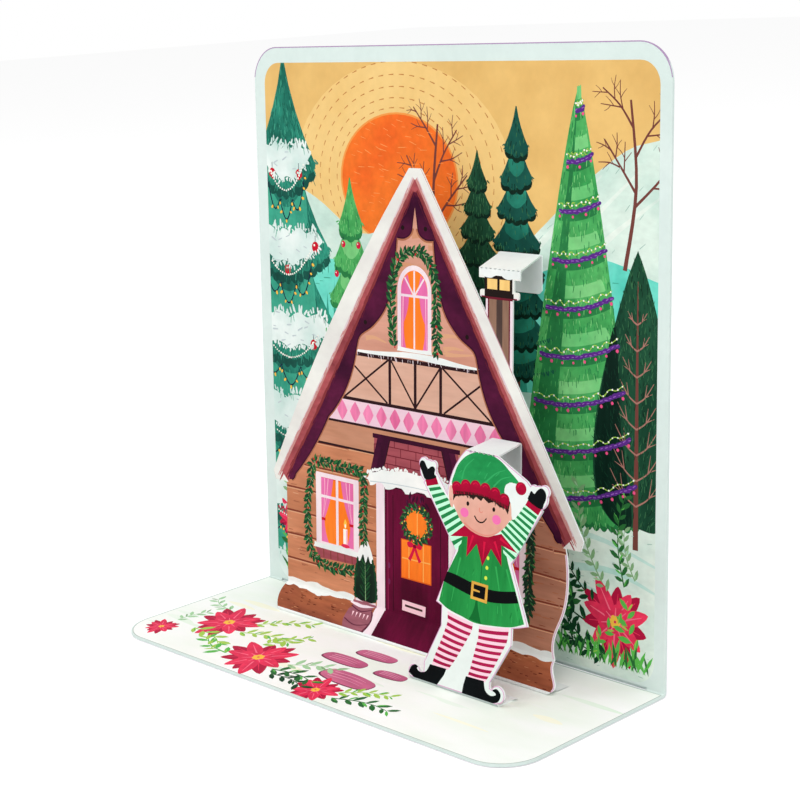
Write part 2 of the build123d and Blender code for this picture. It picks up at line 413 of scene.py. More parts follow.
def nodeTree(name, kind, ins, output):
    # an input's value is a number, a vector, a colour, or the kind of a socket that has no value
    tree = bpy.data.node_groups.new(name, kind)
    for label, value in ins.items():
        if isinstance(value, str):
            socket = value
        elif isinstance(value, tuple):
            socket = "Vector" if len(value) == 3 else "Color"
        else:
            socket = "Int" if isinstance(value, int) else "Float"
        item = tree.interface.new_socket(label, in_out="INPUT", socket_type="NodeSocket" + socket)
        if socket != value:
            item.default_value = value
    tree.interface.new_socket(output, in_out="OUTPUT", socket_type="NodeSocket" + outputKinds[output])
    return tree, tree.nodes.new("NodeGroupInput").outputs, tree.nodes.new("NodeGroupOutput")


washLook = {"low": 0.34, "high": 0.66, "detail": 4, "bristleDetail": 2, "contrast": 5.0}
printFinish = {
    "roughness": 0.5,
    "specular": 0.04,
    "tooth": 0.14,
    "toothDepth": 0.00003,
    "grain": 3200.0,
    "grainDetail": 3,
}


def makeGouache():
    # opaque paint: broad washes from tone to shade, and brush marks that lighten and darken it
    inputs = {
        "Tone": (1, 1, 1, 1),
        "Shade": (0, 0, 0, 1),
        "Wash Scale": (60, 60, 60),
        "Bristle Scale": (400, 400, 400),
        "Wash Amount": 0.8,
        "Bristle Amount": 0.1,
    }
    tree, given, result = nodeTree("gouacheWash", "ShaderNodeTree", inputs, "Color")
    place = addNode(tree, "ShaderNodeTexCoord").outputs["Object"]

    def marks(scale, detail):
        spot = addNode(tree, "ShaderNodeVectorMath", (0, place), (1, scale), operation="MULTIPLY")
        feeds = (("Vector", spot.outputs[0]), ("Scale", 1.0), ("Detail", detail))
        return addNode(tree, "ShaderNodeTexNoise", *feeds).outputs["Fac"]

    washed = marks(given["Wash Scale"], washLook["detail"])
    limits = (("From Min", washLook["low"]), ("From Max", washLook["high"]), ("To Max", given["Wash Amount"]))
    spread = addNode(tree, "ShaderNodeMapRange", ("Value", washed), *limits)
    # the mix node's colour sockets are 6, 7 and output 2
    tones = (("Factor", spread.outputs["Result"]), (6, given["Tone"]), (7, given["Shade"]))
    wash = addNode(tree, "ShaderNodeMix", *tones, data_type="RGBA")
    centred = maths(tree, "SUBTRACT", marks(given["Bristle Scale"], washLook["bristleDetail"]), 0.5)
    strength = maths(tree, "MULTIPLY", centred, given["Bristle Amount"])
    gain = maths(tree, "MULTIPLY_ADD", strength, washLook["contrast"], 1.0)
    tint = addNode(tree, "ShaderNodeVectorMath", (0, wash.outputs[2]), ("Scale", gain), operation="SCALE")
    feed(tree, result, ("Color", tint.outputs[0]))
    return tree


def makeTooth():
    # the fine tooth of printed board, as a height for the bump
    tree, given, result = nodeTree("cardTooth", "ShaderNodeTree", {"Grain": printFinish["grain"]}, "Height")
    place = addNode(tree, "ShaderNodeTexCoord").outputs["Object"]
    feeds = (("Vector", place), ("Scale", given["Grain"]), ("Detail", printFinish["grainDetail"]))
    noise = addNode(tree, "ShaderNodeTexNoise", *feeds)
    feed(tree, result, ("Height", noise.outputs["Fac"]))
    return tree


gouacheWash = makeGouache()
cardTooth = makeTooth()


def newMaterial(name, roughness, specular):
    material = bpy.data.materials.new(name)
    material.use_nodes = True
    tree = material.node_tree
    shader = tree.nodes["Principled BSDF"]
    feed(tree, shader, ("Roughness", roughness), ("Specular IOR Level", specular))
    return material, tree, shader


def newFinish(name, roughness, specular):
    # a material with the card's tooth: its node tree and its shader
    material, tree, shader = newMaterial(name, roughness, specular)
    height = addNode(tree, "ShaderNodeGroup", node_tree=cardTooth).outputs[0]
    strength = (("Strength", printFinish["tooth"]), ("Distance", printFinish["toothDepth"]))
    bump = addNode(tree, "ShaderNodeBump", *strength, ("Height", height))
    feed(tree, shader, ("Normal", bump.outputs[0]))
    return material, tree, shader


def gouache(tree, tone, shade, brush, *amounts):
    # the paint's colour; amounts are those of the washes and of the brush marks
    values = (inkColour(tone), inkColour(shade), *brushes[brush], *amounts)
    return addNode(tree, "ShaderNodeGroup", *enumerate(values), node_tree=gouacheWash).outputs[0]


finishes = {}


def inkFinish(name):
    # the material of one ink, made once
    if name not in finishes:
        recipe = inks[name]
        material, tree, shader = newFinish(name, printFinish["roughness"], printFinish["specular"])
        colour = inkColour(recipe) if isinstance(recipe, str) else gouache(tree, *recipe)
        feed(tree, shader, ("Base Color", colour))
        finishes[name] = material
    return finishes[name]


# A printed film: every shape is cut by those painted over it, so that it is one thin closed skin
film = {"thick": 0.03, "merge": 1e-5, "flat": 0.004, "apart": 1e-3}


def cardOutline(node, face):
    # the loops round the flat part of a CAD node that lies on a sheet face, as (x, y) in mm
    toFace = face.inverted()
    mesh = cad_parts[node].data
    local = [toFace @ v.co for v in mesh.vertices]
    mesh.calc_loop_triangles()
    steps = set()
    for triangle in mesh.loop_triangles:
        corners = [local[i] for i in triangle.vertices]
        if max(abs(c.z) for c in corners) > film["flat"]:
            continue
        keys = [(round(c.x, 3), round(c.y, 3)) for c in corners]
        area = (keys[1][0] - keys[0][0]) * (keys[2][1] - keys[0][1])
        area -= (keys[2][0] - keys[0][0]) * (keys[1][1] - keys[0][1])
        if area <= 0:
            continue
        for k in range(3):
            step = (keys[k], keys[(k + 1) % 3])
            if step[::-1] in steps:
                steps.discard(step[::-1])
            else:
                steps.add(step)
    following = {}
    for a, b in sorted(steps):
        following.setdefault(a, []).append(b)
    loops = []
    while following:
        here = min(following)
        loop = []
        while here in following:
            loop.append(here)
            onward = following[here].pop()
            if not following[here]:
                del following[here]
            here = onward
        loops.append(loop)
    return loops


def inside(points, loop):
    # how often a loop winds round each point
    a = np.asarray(loop, float)
    b = np.roll(a, -1, axis=0)
    x, y = points[:, 0][:, None], points[:, 1][:, None]
    cross = (b[:, 0] - a[:, 0]) * (y - a[:, 1]) - (x - a[:, 0]) * (b[:, 1] - a[:, 1])
    up = (a[:, 1] <= y) & (b[:, 1] > y) & (cross > 0)
    down = (a[:, 1] > y) & (b[:, 1] <= y) & (cross < 0)
    return up.sum(1) - down.sum(1)


def partition(loops, layers):
    # triangles of the print, each with the number of the topmost layer over it
    points, edges = [], []
    for loop in loops + [shape for _, shape in layers]:
        first = len(points)
        points.extend(Vector(p) for p in loop)
        edges.extend((first + k, first + (k + 1) % len(loop)) for k in range(len(loop)))
    cut = delaunay_2d_cdt(points, edges, [], 0, film["merge"], False)
    corners = np.array([(p.x, p.y) for p in cut[0]])
    triangles = np.array(cut[2])
    middles = corners[triangles].mean(1)
    winding = np.zeros(len(middles), int)
    for loop in loops:
        winding += inside(middles, loop)
    triangles, middles = triangles[winding != 0], middles[winding != 0]
    top = np.full(len(middles), -1)
    for k, (_, shape) in enumerate(layers):
        low, high = np.min(shape, axis=0), np.max(shape, axis=0)
        near = np.nonzero(((middles >= low) & (middles <= high)).all(1))[0]
        if len(near):
            top[near[inside(middles[near], shape) != 0]] = k
    return corners, triangles[top >= 0], top[top >= 0]


def linked(name, data):
    # a new object in the scene
    item = bpy.data.objects.new(name, data)
    bpy.context.scene.collection.objects.link(item)
    return item


def withoutVerts(mesh, unwanted):
    # deletes the vertices that unwanted picks
    shape = bmesh.new()
    shape.from_mesh(mesh)
    bmesh.ops.delete(shape, geom=unwanted(shape.verts), context="VERTS")
    shape.to_mesh(mesh)
    shape.free()


def addPiece(name, mesh, face):
    mesh.transform(face)
    piece = linked(name, mesh)
    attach(piece, "root")


def printFilm(name, loops, layers, face):
    # lays a print on a sheet, and gives back where each ink shows, for the strokes over it
    layers = list(layers)
    corners, triangles, top = partition(loops, layers)
    used = list(dict.fromkeys(layers[k][0] for k in sorted(set(top))))
    count = len(corners)
    inkOf = [used.index(layers[k][0]) for k in top]
    faces = [tuple(t) for t in triangles] + [(t[2] + count, t[1] + count, t[0] + count) for t in triangles]
    slots = inkOf * 2
    rim = {}
    for t, ink in zip(triangles, inkOf):
        for k in range(3):
            a, b = t[k], t[(k + 1) % 3]
            if (b, a) in rim:
                del rim[(b, a)]
            else:
                rim[(a, b)] = ink
    for (a, b), ink in rim.items():
        faces.append((a + count, b + count, b, a))
        slots.append(ink)
    verts = [(p[0], p[1], film["thick"]) for p in corners] + [(p[0], p[1], 0.0) for p in corners]
    mesh = bpy.data.meshes.new(name)
    mesh.from_pydata(verts, [], [tuple(int(i) for i in f) for f in faces])
    for ink in used:
        mesh.materials.append(inkFinish(ink))
    mesh.polygons.foreach_set("material_index", slots)
    withoutVerts(mesh, lambda verts: [v for v in verts if not v.link_faces])
    addPiece(name, mesh, face)
    print(name, "-", len(layers), "shapes,", len(mesh.polygons), "faces")
    shown = {}
    for t, k in zip(triangles, top):
        shown.setdefault(layers[k][0], []).append([tuple(corners[i]) for i in t])
    return shown


# Brush marks laid over the films by Geometry Nodes: rows that follow a line, and strokes over an area
marksLook = {"thick": 0.04, "liftSpread": 0.02, "seed": 7, "draws": (5, 11, 12, 13)}


def brushShape(name, outline):
    # a thin closed flake, one unit long, wide and thick; the rows and strokes scale it
    count = len(outline)
    verts = [(x, y, 0) for x, y in outline] + [(0.5, 0, 0.5), (0.5, 0, -0.5)]
    faces = []
    for k in range(count):
        after = (k + 1) % count
        faces += [(k, after, count), (after, k, count + 1)]
    mesh = bpy.data.meshes.new(name)
    mesh.from_pydata(verts, [], faces)
    return linked(name, mesh)


brushLeaf = brushShape("brushLeaf", [(0, 0), (0.3, -0.42), (0.66, -0.44), (1, 0), (0.7, 0.4), (0.34, 0.44)])
brushDash = brushShape("brushDash", [(0, 0), (0.14, -0.46), (0.8, -0.34), (1, 0), (0.8, 0.36), (0.16, 0.46)])
hexagon = [(0.5 + 0.5 * cos(k * pi / 3), 0.5 * sin(k * pi / 3)) for k in range(6)]
brushBead = brushShape("brushBead", hexagon)
markCorners = 8  # corners of each brush shape; the tip is number 3


def randomBetween(tree, low, high, seed):
    node = addNode(tree, "FunctionNodeRandomValue", (2, low), (3, high), (8, seed), data_type="FLOAT")
    return node.outputs[1]


def sizedTurned(tree, given, points, angle):
    # shared end of both trees: sizes and turns the brush shape at each point, then makes it real
    least = maths(tree, "SUBTRACT", 1.0, given["Size Spread"])
    size = randomBetween(tree, least, 1.0, given["Seed"])
    long = maths(tree, "MULTIPLY", given["Length"], size)
    wide = maths(tree, "MULTIPLY", given["Width"], size)
    scale = addNode(tree, "ShaderNodeCombineXYZ", (0, long), (1, wide), (2, marksLook["thick"]))
    turnDraw, asideDraw, acrossDraw, riseDraw = marksLook["draws"]
    jitter = maths(tree, "MULTIPLY", randomBetween(tree, -1.0, 1.0, turnDraw), given["Turn Spread"])
    turned = addNode(tree, "ShaderNodeCombineXYZ", (2, maths(tree, "ADD", angle, jitter)))
    aside = maths(tree, "MULTIPLY", randomBetween(tree, -1.0, 1.0, asideDraw), given["Aside"])
    across = maths(tree, "MULTIPLY", randomBetween(tree, -1.0, 1.0, acrossDraw), given["Aside"])
    rise = randomBetween(tree, film["thick"], film["thick"] + marksLook["liftSpread"], riseDraw)
    lift = maths(tree, "ADD", rise, given["Lift"])
    shift = addNode(tree, "ShaderNodeCombineXYZ", (0, aside), (1, across), (2, lift))
    shape = addNode(tree, "GeometryNodeObjectInfo", ("Object", given["Brush"]))
    feeds = (("Points", points), ("Instance", shape.outputs["Geometry"]), ("Rotation", turned.outputs[0]))
    flakes = addNode(tree, "GeometryNodeInstanceOnPoints", *feeds, ("Scale", scale.outputs[0]))
    moves = (("Instances", flakes.outputs[0]), ("Translation", shift.outputs[0]), ("Local Space", False))
    moved = addNode(tree, "GeometryNodeTranslateInstances", *moves)
    real = addNode(tree, "GeometryNodeRealizeInstances", ("Geometry", moved.outputs[0]))
    inked = addNode(tree, "GeometryNodeSetMaterial", ("Geometry", real.outputs[0]),
        ("Material", given["Ink"]))
    return inked.outputs[0]


sharedInputs = {
    "Geometry": "Geometry",
    "Brush": "Object",
    "Ink": "Material",
    "Length": 1.5,
    "Width": 0.6,
    "Size Spread": 0.3,
    "Turn": 0.0,
    "Turn Spread": 0.2,
    "Aside": 0.0,
    "Lift": 0.0,
    "Seed": 1,
}


def makeRowTree():
    # shapes in a row along lines, turned to either side in turn, such as leaves on a stem
    inputs = sharedInputs | {"Spacing": 1.0, "Fan": 0.0}
    tree, given, result = nodeTree("rowOnLine", "GeometryNodeTree", inputs, "Geometry")
    line = addNode(tree, "GeometryNodeMeshToCurve", ("Mesh", given["Geometry"])).outputs[0]
    run = (("Curve", line), ("Length", given["Spacing"]))
    even = addNode(tree, "GeometryNodeResampleCurve", *run, mode="LENGTH")
    tangent = addNode(tree, "GeometryNodeInputTangent").outputs[0]
    heading = addNode(tree, "ShaderNodeSeparateXYZ", (0, tangent))
    angle = maths(tree, "ARCTAN2", heading.outputs[1], heading.outputs[0])
    number = addNode(tree, "GeometryNodeInputIndex").outputs[0]
    side = maths(tree, "MULTIPLY_ADD", maths(tree, "MODULO", number, 2.0), 2.0, -1.0)
    turned = maths(tree, "ADD", angle, given["Turn"])
    fanned = maths(tree, "MULTIPLY_ADD", side, given["Fan"], turned)
    feed(tree, result, (0, sizedTurned(tree, given, even.outputs[0], fanned)))
    return tree


def makeFieldTree():
    # strokes strewn over an area, at a set turn or fanned out from a point
    inputs = sharedInputs | {"Density": 0.2, "Fan Centre": (0, 0, 0), "Fan Amount": 0.0}
    tree, given, result = nodeTree("strokesOnArea", "GeometryNodeTree", inputs, "Geometry")
    feeds = (("Mesh", given["Geometry"]), ("Density", given["Density"]), ("Seed", given["Seed"]))
    strewn = addNode(tree, "GeometryNodeDistributePointsOnFaces", *feeds)
    spot = addNode(tree, "GeometryNodeInputPosition").outputs[0]
    away = addNode(tree, "ShaderNodeVectorMath", (0, spot), (1, given["Fan Centre"]), operation="SUBTRACT")
    heading = addNode(tree, "ShaderNodeSeparateXYZ", (0, away.outputs[0]))
    fanned = maths(tree, "ARCTAN2", heading.outputs[1], heading.outputs[0])
    straight = maths(tree, "MULTIPLY", given["Turn"], maths(tree, "SUBTRACT", 1.0, given["Fan Amount"]))
    angle = maths(tree, "MULTIPLY_ADD", fanned, given["Fan Amount"], straight)
    feed(tree, result, (0, sizedTurned(tree, given, strewn.outputs[0], angle)))
    return tree


rowOnLine = makeRowTree()
strokesOnArea = makeFieldTree()


def grown(tree, guide, settings):
    # runs one tree on a guide mesh and takes the result as a plain mesh
    holder = linked("guide", guide)
    grower = holder.modifiers.new(tree.name, "NODES")
    grower.node_group = tree
    for item in tree.interface.items_tree:
        if item.in_out == "INPUT" and item.name in settings:
            grower[item.identifier] = settings[item.name]
    graph = bpy.context.evaluated_depsgraph_get()
    mesh = bpy.data.meshes.new_from_object(holder.evaluated_get(graph))
    holder.modifiers.remove(grower)
    bpy.data.objects.remove(holder)
    return mesh


def nextSeed():
    marksLook["seed"] += 1
    return marksLook["seed"]


def row(lines, brush, ink, spacing, length, width, fan=0.0, turn=0.0, sway=0.2, vary=0.3, aside=0.0,
        lift=0.0):
    # brush marks along lines: sway and vary are the spread of their turn (radians) and of their size
    guide = bpy.data.meshes.new("lines")
    verts, edges = [], []
    for line in lines:
        first = len(verts)
        verts += [(p[0], p[1], 0) for p in line]
        edges += [(first + k, first + k + 1) for k in range(len(line) - 1)]
    guide.from_pydata(verts, edges, [])
    return grown(rowOnLine, guide, {
        "Brush": brush, "Ink": inkFinish(ink), "Spacing": spacing, "Length": length, "Width": width,
        "Fan": radians(fan), "Turn": radians(turn), "Turn Spread": sway,
        "Size Spread": vary, "Aside": aside, "Lift": lift, "Seed": nextSeed(),
    })


def pruned(mesh, allowed):
    # takes out brush marks; allowed is given the corners of every mark as (marks, corners, 2)
    spots = np.empty(len(mesh.vertices) * 3)
    mesh.vertices.foreach_get("co", spots)
    kept = np.repeat(allowed(spots.reshape(-1, markCorners, 3)[:, :, :2]), markCorners)
    withoutVerts(mesh, lambda verts: [v for v, stays in zip(verts, kept) if not stays])
    return mesh


def tipsOn(areas):
    # a test for marks that end on the areas they start on
    a = np.array(areas)
    step = np.roll(a, -1, axis=1) - a

    def test(spots):
        x, y = spots[:, 3, 0][:, None, None], spots[:, 3, 1][:, None, None]
        return (step[:, :, 0] * (y - a[:, :, 1]) >= step[:, :, 1] * (x - a[:, :, 0])).all(2).any(1)

    return test


def strew(areas, ink, density, length, width, turn=0.0, fanFrom=None, sway=0.25, lift=0.0, neat=False):
    # strokes over areas; neat takes out those that end off them
    guide = bpy.data.meshes.new("areas")
    verts = [(p[0], p[1], 0) for area in areas for p in area]
    guide.from_pydata(verts, [], [(3 * k, 3 * k + 1, 3 * k + 2) for k in range(len(areas))])
    centre = (*fanFrom, 0.0) if fanFrom else (0, 0, 0)
    marks = grown(strokesOnArea, guide, {
        "Brush": brushDash, "Ink": inkFinish(ink), "Density": density, "Length": length, "Width": width,
        "Turn": radians(turn), "Turn Spread": sway, "Size Spread": 0.5, "Lift": lift,
        "Fan Centre": centre, "Fan Amount": 1.0 if fanFrom else 0.0, "Seed": nextSeed(),
    })
    return pruned(marks, tipsOn(areas)) if neat and areas else marks


def showing(shown, ink, x0=-1e3, x1=1e3, y0=-1e3, y1=1e3):
    # the parts of a print where an ink shows, within a box
    kept = []
    for area in shown.get(ink, []):
        x, y = sum(p[0] for p in area) / 3, sum(p[1] for p in area) / 3
        if x0 < x < x1 and y0 < y < y1:
            kept.append(area)
    return kept


def overlay(name, parts, face, box=None):
    # joins the brush marks of one sheet into one piece, less those that lie outside the box
    parts = list(parts)
    if box:
        low, high = np.array(box[::2]), np.array(box[1::2])
        parts = [pruned(part, lambda spots: ((spots > low) & (spots < high)).all((1, 2))) for part in parts]
    mesh = bpy.data.meshes.new(name)
    shape = bmesh.new()
    for part in parts:
        if not part.polygons:
            print(name, "- a set without marks")
            continue
        ink = part.materials[part.polygons[0].material_index]
        if mesh.materials.find(ink.name) < 0:
            mesh.materials.append(ink)
        part.polygons.foreach_set("material_index", [mesh.materials.find(ink.name)] * len(part.polygons))
        shape.from_mesh(part)
    shape.to_mesh(mesh)
    shape.free()
    addPiece(name, mesh, face)
    print(name, "-", len(parts), "sets of marks,", len(mesh.polygons), "faces")


# House front, in mm across from its middle and up from the crease
house = {
    "slopes": {  # the outer line of each band of the roof: top, end, and how far left and right bow out
        "snow": ((2, 106.5), (51.3, 28.4), (2.6, 0.6)),
        "red": ((0.2, 104.1), (48.2, 28.5), (-0.1, -0.5)),
        "barge": ((0.2, 101), (45, 28.2), (-0.7, -0.3)),
    },
    "wallReach": 48.4,
    "plankHeights": (6.5, 12.8, 18.9, 25.0, 31.4, 38.0),
    "balcony": (62.3, 63.8, 19.8),  # snow on the ledge: from, to, half width
    "rail": (61.3, 62.3),
    "trellisFoot": 50.5,
    "bandFoot": 44.6,
    "diamonds": (12, 4.6, 3.7, 5.1),  # count, pitch, width, height
    "lintel": 42.6,
    "door": (-10.3, 10.7),
    "doorFrame": (-13.4, 13.8),
    "doorHead": 31.0,
    "doorSnow": (
        (-17.2, 31.6, -0.5), (-15.9, 33.4, -0.4), (-11.5, 34.6, -0.3), (-5.2, 35.2, 0.2),
        (2.1, 34.9, -0.3), (9, 35.1, -0.3), (14.6, 34, -0.6), (17.4, 31.8, -0.4),
    ),
    "window": (-27.4, 7.8, 11.5, 30.5),  # middle, half width, sill, head
    "conifers": (-17.4, 17.9),
    "wreath": (0.4, 23.2, 4.4, 3.9),
    "bend": (-46.3, 43.4, 0.3),  # the strip over the crease: left, right, reach up and down
    "rims": ((1, 0.45, "framePale"), (-1, 0.25, "framePale"), (1, 0.18, "edgeRose")),  # side, width, ink
    "plinthRims": ((1, 0.35, "framePale"), (1, 0.16, "edgeRose")),
    "rimArea": (-2, 26, 40),  # foot, head, least distance from the middle
    "plinthRimArea": (-2, 9, 40),
    "ledge": ((-19.8, 62.4), (20, 62.4)),
    "wallStrokes": (  # ink below, ink of the stroke, density, length, width
        ("wallBoard", "plankLine", 0.02, 2.4, 0.2),
        ("wallBoard", "wallPale", 0.03, 3.2, 0.3),
        ("wallBoard", "wallShade", 0.06, 3.6, 0.4),
        ("wallDusk", "plankLine", 0.05, 2.2, 0.2),
        ("wallDusk", "wallShade", 0.06, 3.4, 0.4),
    ),
    "roofStrokes": (  # band, ink, shift outwards, spacing
        ("red", "roofBlush", 0.15, 0.4),
        ("red", "roofRed", -0.5, 0.5),
        ("barge", "roofWine", 0.5, 0.45),
        ("barge", "bargePlum", 0.0, 0.6),
    ),
}


def slope(side, band):
    # one slope of the roof from the ridge down; side is -1 left, 1 right
    top, end, bows = house["slopes"][band]
    bow = side * bows[0 if side < 0 else 1]
    return bowed([(side * top[0], top[1], bow), (side * end[0], end[1])], closed=False, steps=10)


def bargeEdge(side):
    # the cut profile of the bargeboard from the ridge to the eave: a lobe, then three swags
    lobe = softLine((0, 98.8), (0.7, 94.8), (1.3, 91.9), (3.4, 90.5), (6.1, 90.5))
    upper = softLine((6.1, 90.4), (6.8, 84.6), (8, 78.6), (10.2, 73.4), (14.2, 69.2), (18.7, 66.4),
        (20, 63.4))
    lower = bowed([(20, 63.4, -1.8), (30.3, 45.1, -0.7), (42.9, 28.6, -0.3), (44.3, 26.9)], closed=False)
    return [(side * x, y) for x, y in lobe + upper[1:] + lower[1:]]


def plankRun(x0, x1, y, seed):
    # the joint between two boards: broken strokes with a paler one under them
    draw = random.Random(seed)
    x = x0
    while x < x1 - 2:
        end = min(x + draw.uniform(12, 24), x1)
        lift = draw.uniform(-0.15, 0.15)
        line = softLine((x, y + lift), ((x + end) / 2, y + lift + draw.uniform(-0.2, 0.2)),
            (end, y + draw.uniform(-0.1, 0.1)))
        yield "wallPale", stroke([(p[0], p[1] - 0.4) for p in line], 0.32, 0.14)
        yield "plankLine", stroke(line, 0.5, 0.34)
        x = end + draw.uniform(-0.2, 0.4)


def paintWalls():
    reach, eave = house["wallReach"], house["slopes"]["snow"][1]
    roof = slope(-1, "snow")[::-1] + slope(1, "snow")
    foot = [(eave[0] - 0.8, 26), (reach, 26), (reach, -3), (-reach, -3), (-reach, 26), (-eave[0] + 0.8, 26)]
    yield "wallTimber", roof + foot
    boards = [(reach, -3), (reach, 26), (eave[0] - 0.8, 26), (eave[0], eave[1]), (41, 44.4)]
    yield "wallBoard", boards + [(-x, y) for x, y in boards[::-1]]
    # the boards right of the door in a darker ink: painted shade where the figure shades the wall
    yield "wallDusk", [(14, -3)] + boards + [(14, 44.4)]
    draw = random.Random(3)
    for k in range(18):
        y = draw.uniform(64, 92)
        x = draw.uniform(-0.5, 0.4) * (100 - y)
        line = softLine((x, y), (x + 3, y + draw.uniform(-0.6, 0.6)),
            (x + draw.uniform(6, 10), y + draw.uniform(-0.8, 0.8)))
        yield "wallPale" if k % 2 else "wallBlush", stroke(line, 1.3, 0.3)
    yield "wallPeach", block(-44, 38, 44, 44.4)
    for k, y in enumerate(house["plankHeights"]):
        yield from plankRun(-47, 48, y, 10 + k)
    yield "railDark", stroke([(-41, 38.2), (41, 38)], 0.55)


def paintBalcony():
    low, high, reach = house["balcony"]
    foot, band = house["trellisFoot"], house["bandFoot"]
    yield "wallCream", block(-32, foot, 32, low)
    braces = ((-22.3, 59.8, -9.3, 50.9), (-8.9, 61.4, -24.3, 50.8), (-8.3, 61.6, -0.2, 51.2))
    for x0, y0, x1, y1 in braces:
        for way in (1, -1):
            yield "railDark", stroke([(way * x0, y0), (way * x1, y1)], 0.5)
    for x in (-8.5, 0, 8.3):
        yield "railDark", block(x - 0.45, foot, x + 0.45, 62)
    for x0, x1 in ((-24.5, -17.5), (-15, -9.6), (-7.6, -1), (0.8, 7.3), (9.2, 14.6), (17, 24.5)):
        yield "bandLilac", bowed([(x0, foot + 0.3), (x1, foot + 0.3, 0.9)], steps=6)
    yield "railDark", block(-33, foot - 0.4, 33, foot + 0.4)
    yield "bandLilac", block(-34, band, 34, foot - 0.4)
    count, pitch, wide, tall = house["diamonds"]
    middle = (band + foot - 0.4) / 2
    for k in range(count):
        x = (k - (count - 1) / 2) * pitch + 0.1
        corners = [(x - wide / 2, middle, -0.14), (x, middle - tall / 2, -0.14),
            (x + wide / 2, middle, -0.14), (x, middle + tall / 2, -0.14)]
        yield "diamondPink", bowed(corners, steps=3)
    yield "railDark", block(-34, band - 0.5, 34, band + 0.1)
    yield "railDark", block(-22.6, house["rail"][0], 22.6, house["rail"][1])
    hem = [(-reach - 1.2, low, -0.2), (-6, low + 0.1, 0.2), (5, low, -0.2), (reach + 1.4, low)]
    crest = [(reach + 1, high - 1.1, 0.2), (9, high - 0.1, -0.15), (-4, high, 0.2), (-reach - 0.9, high - 1)]
    yield "snowWhite", bowed(hem + crest)


def paintLintel():
    head = house["lintel"]
    yield "brickRed", block(-14, 33, 14, head)
    draw = random.Random(4)
    for course in range(4):
        y = 34.2 + 2.1 * course
        yield "brickLine", block(-14, y - 0.13, 14, y + 0.13)
        x = -14 + (course % 2) * 2.4
        while x < 14:
            yield "brickLine", block(x - 0.12, y, x + 0.12, y + 2.1)
            x += 4.8 + draw.uniform(-0.4, 0.4)
    for side in (-1, 1):
        yield "postPlum", [(side * 8.4, head), (side * 12.7, head), (side * 15.6, 33), (side * 11.4, 33)]
        yield "bargePlum", [(side * 10.8, head), (side * 12.7, head), (side * 15.6, 33), (side * 13.9, 33)]
        yield "lineDark", stroke([(side * 8.4, head), (side * 11.4, 33)], 0.25)
    yield "postPlum", block(-14.5, head - 0.6, 14.5, head + 0.5)


def paintDoor():
    left, right = house["door"]
    outLeft, outRight = house["doorFrame"]
    head = house["doorHead"]
    yield "framePale", block(outLeft, -3, outRight, head + 0.4)
    yield "doorDeep", block(left - 0.2, -3, right + 0.2, head)
    yield "doorMaroon", block(left, -3, right, head - 0.3)
    yield "doorLight", stroke([(left + 0.9, 29.5), (left + 0.9, -2)], 0.2, 0.35)
    for x in (-7.6, 8.3):
        yield "doorDeep", stroke([(x, -3), (x, 29)], 0.22)
    yield "paneDeep", block(-4.9, 9.2, 5.3, 18.9)
    yield "paneAmber", block(-4.6, 9.5, 5, 18.7)
    for x in (-2.2, 2.6):
        yield "paneGlow", stroke([(x, 9.5), (x, 18.7)], 0.3)
    yield "paneGlow", stroke([(-4.6, 14.2), (5, 14.4)], 0.3)
    x, y, rx, ry = house["wreath"]
    yield "paneAmber", oval(x, y, rx - 0.6, ry - 0.4)
    yield "paneGlow", stroke([(x + 0.2, y - ry + 0.6), (x + 0.2, y + ry - 0.6)], 0.3)
    yield "slotPink", [(-4.6, 1.2), (3.2, 1), (3.4, 3.6), (-4.5, 3.8)]
    yield "slotDark", [(-3.6, 2.3), (2.3, 2.15), (2.3, 2.7), (-3.6, 2.85)]
    for y in (7.4, 11.4):
        yield "bargeLight", oval(-9, y, 0.4, 0.75, count=12)


def paintDoorSnow():
    # snow lying on the door's lintel, with drips
    drips = [(16.4, 30.2, -0.4), (14.2, 31.2, 0.4), (10.6, 29.9, -0.5), (8.2, 31.2, 0.3), (3.8, 30.4, -0.5),
        (0.6, 31.1, 0.3), (-3.4, 29.9, -0.6), (-6.6, 31, 0.3), (-10.2, 30, -0.6), (-13, 31.3, 0.3),
        (-15.6, 30.1, -0.5)]
    yield "snowWhite", bowed(list(house["doorSnow"]) + drips)
    yield "snowShade", sweep(0.25, 0.12, (-15.5, 31.1), (-9, 31.6), (0, 31.9), (9, 31.8), (15.5, 31))


def paintBow(x, y, size, ink):
    # a ribbon bow with two tails
    for side in (-1, 1):
        tail = softLine((x, y), (x + side * 0.35 * size, y - 0.8 * size),
            (x + side * 0.75 * size, y - 1.5 * size))
        yield ink, stroke(tail, 0.3 * size, 0.42 * size)
        loop = [(x, y), (x + side * 0.6 * size, y + 0.42 * size), (x + side * 1.05 * size, y + 0.2 * size),
            (x + side * 0.8 * size, y - 0.22 * size)]
        yield ink, soft(loop, steps=4)
    yield "trimDeep", oval(x, y, 0.22 * size, 0.2 * size, count=10)


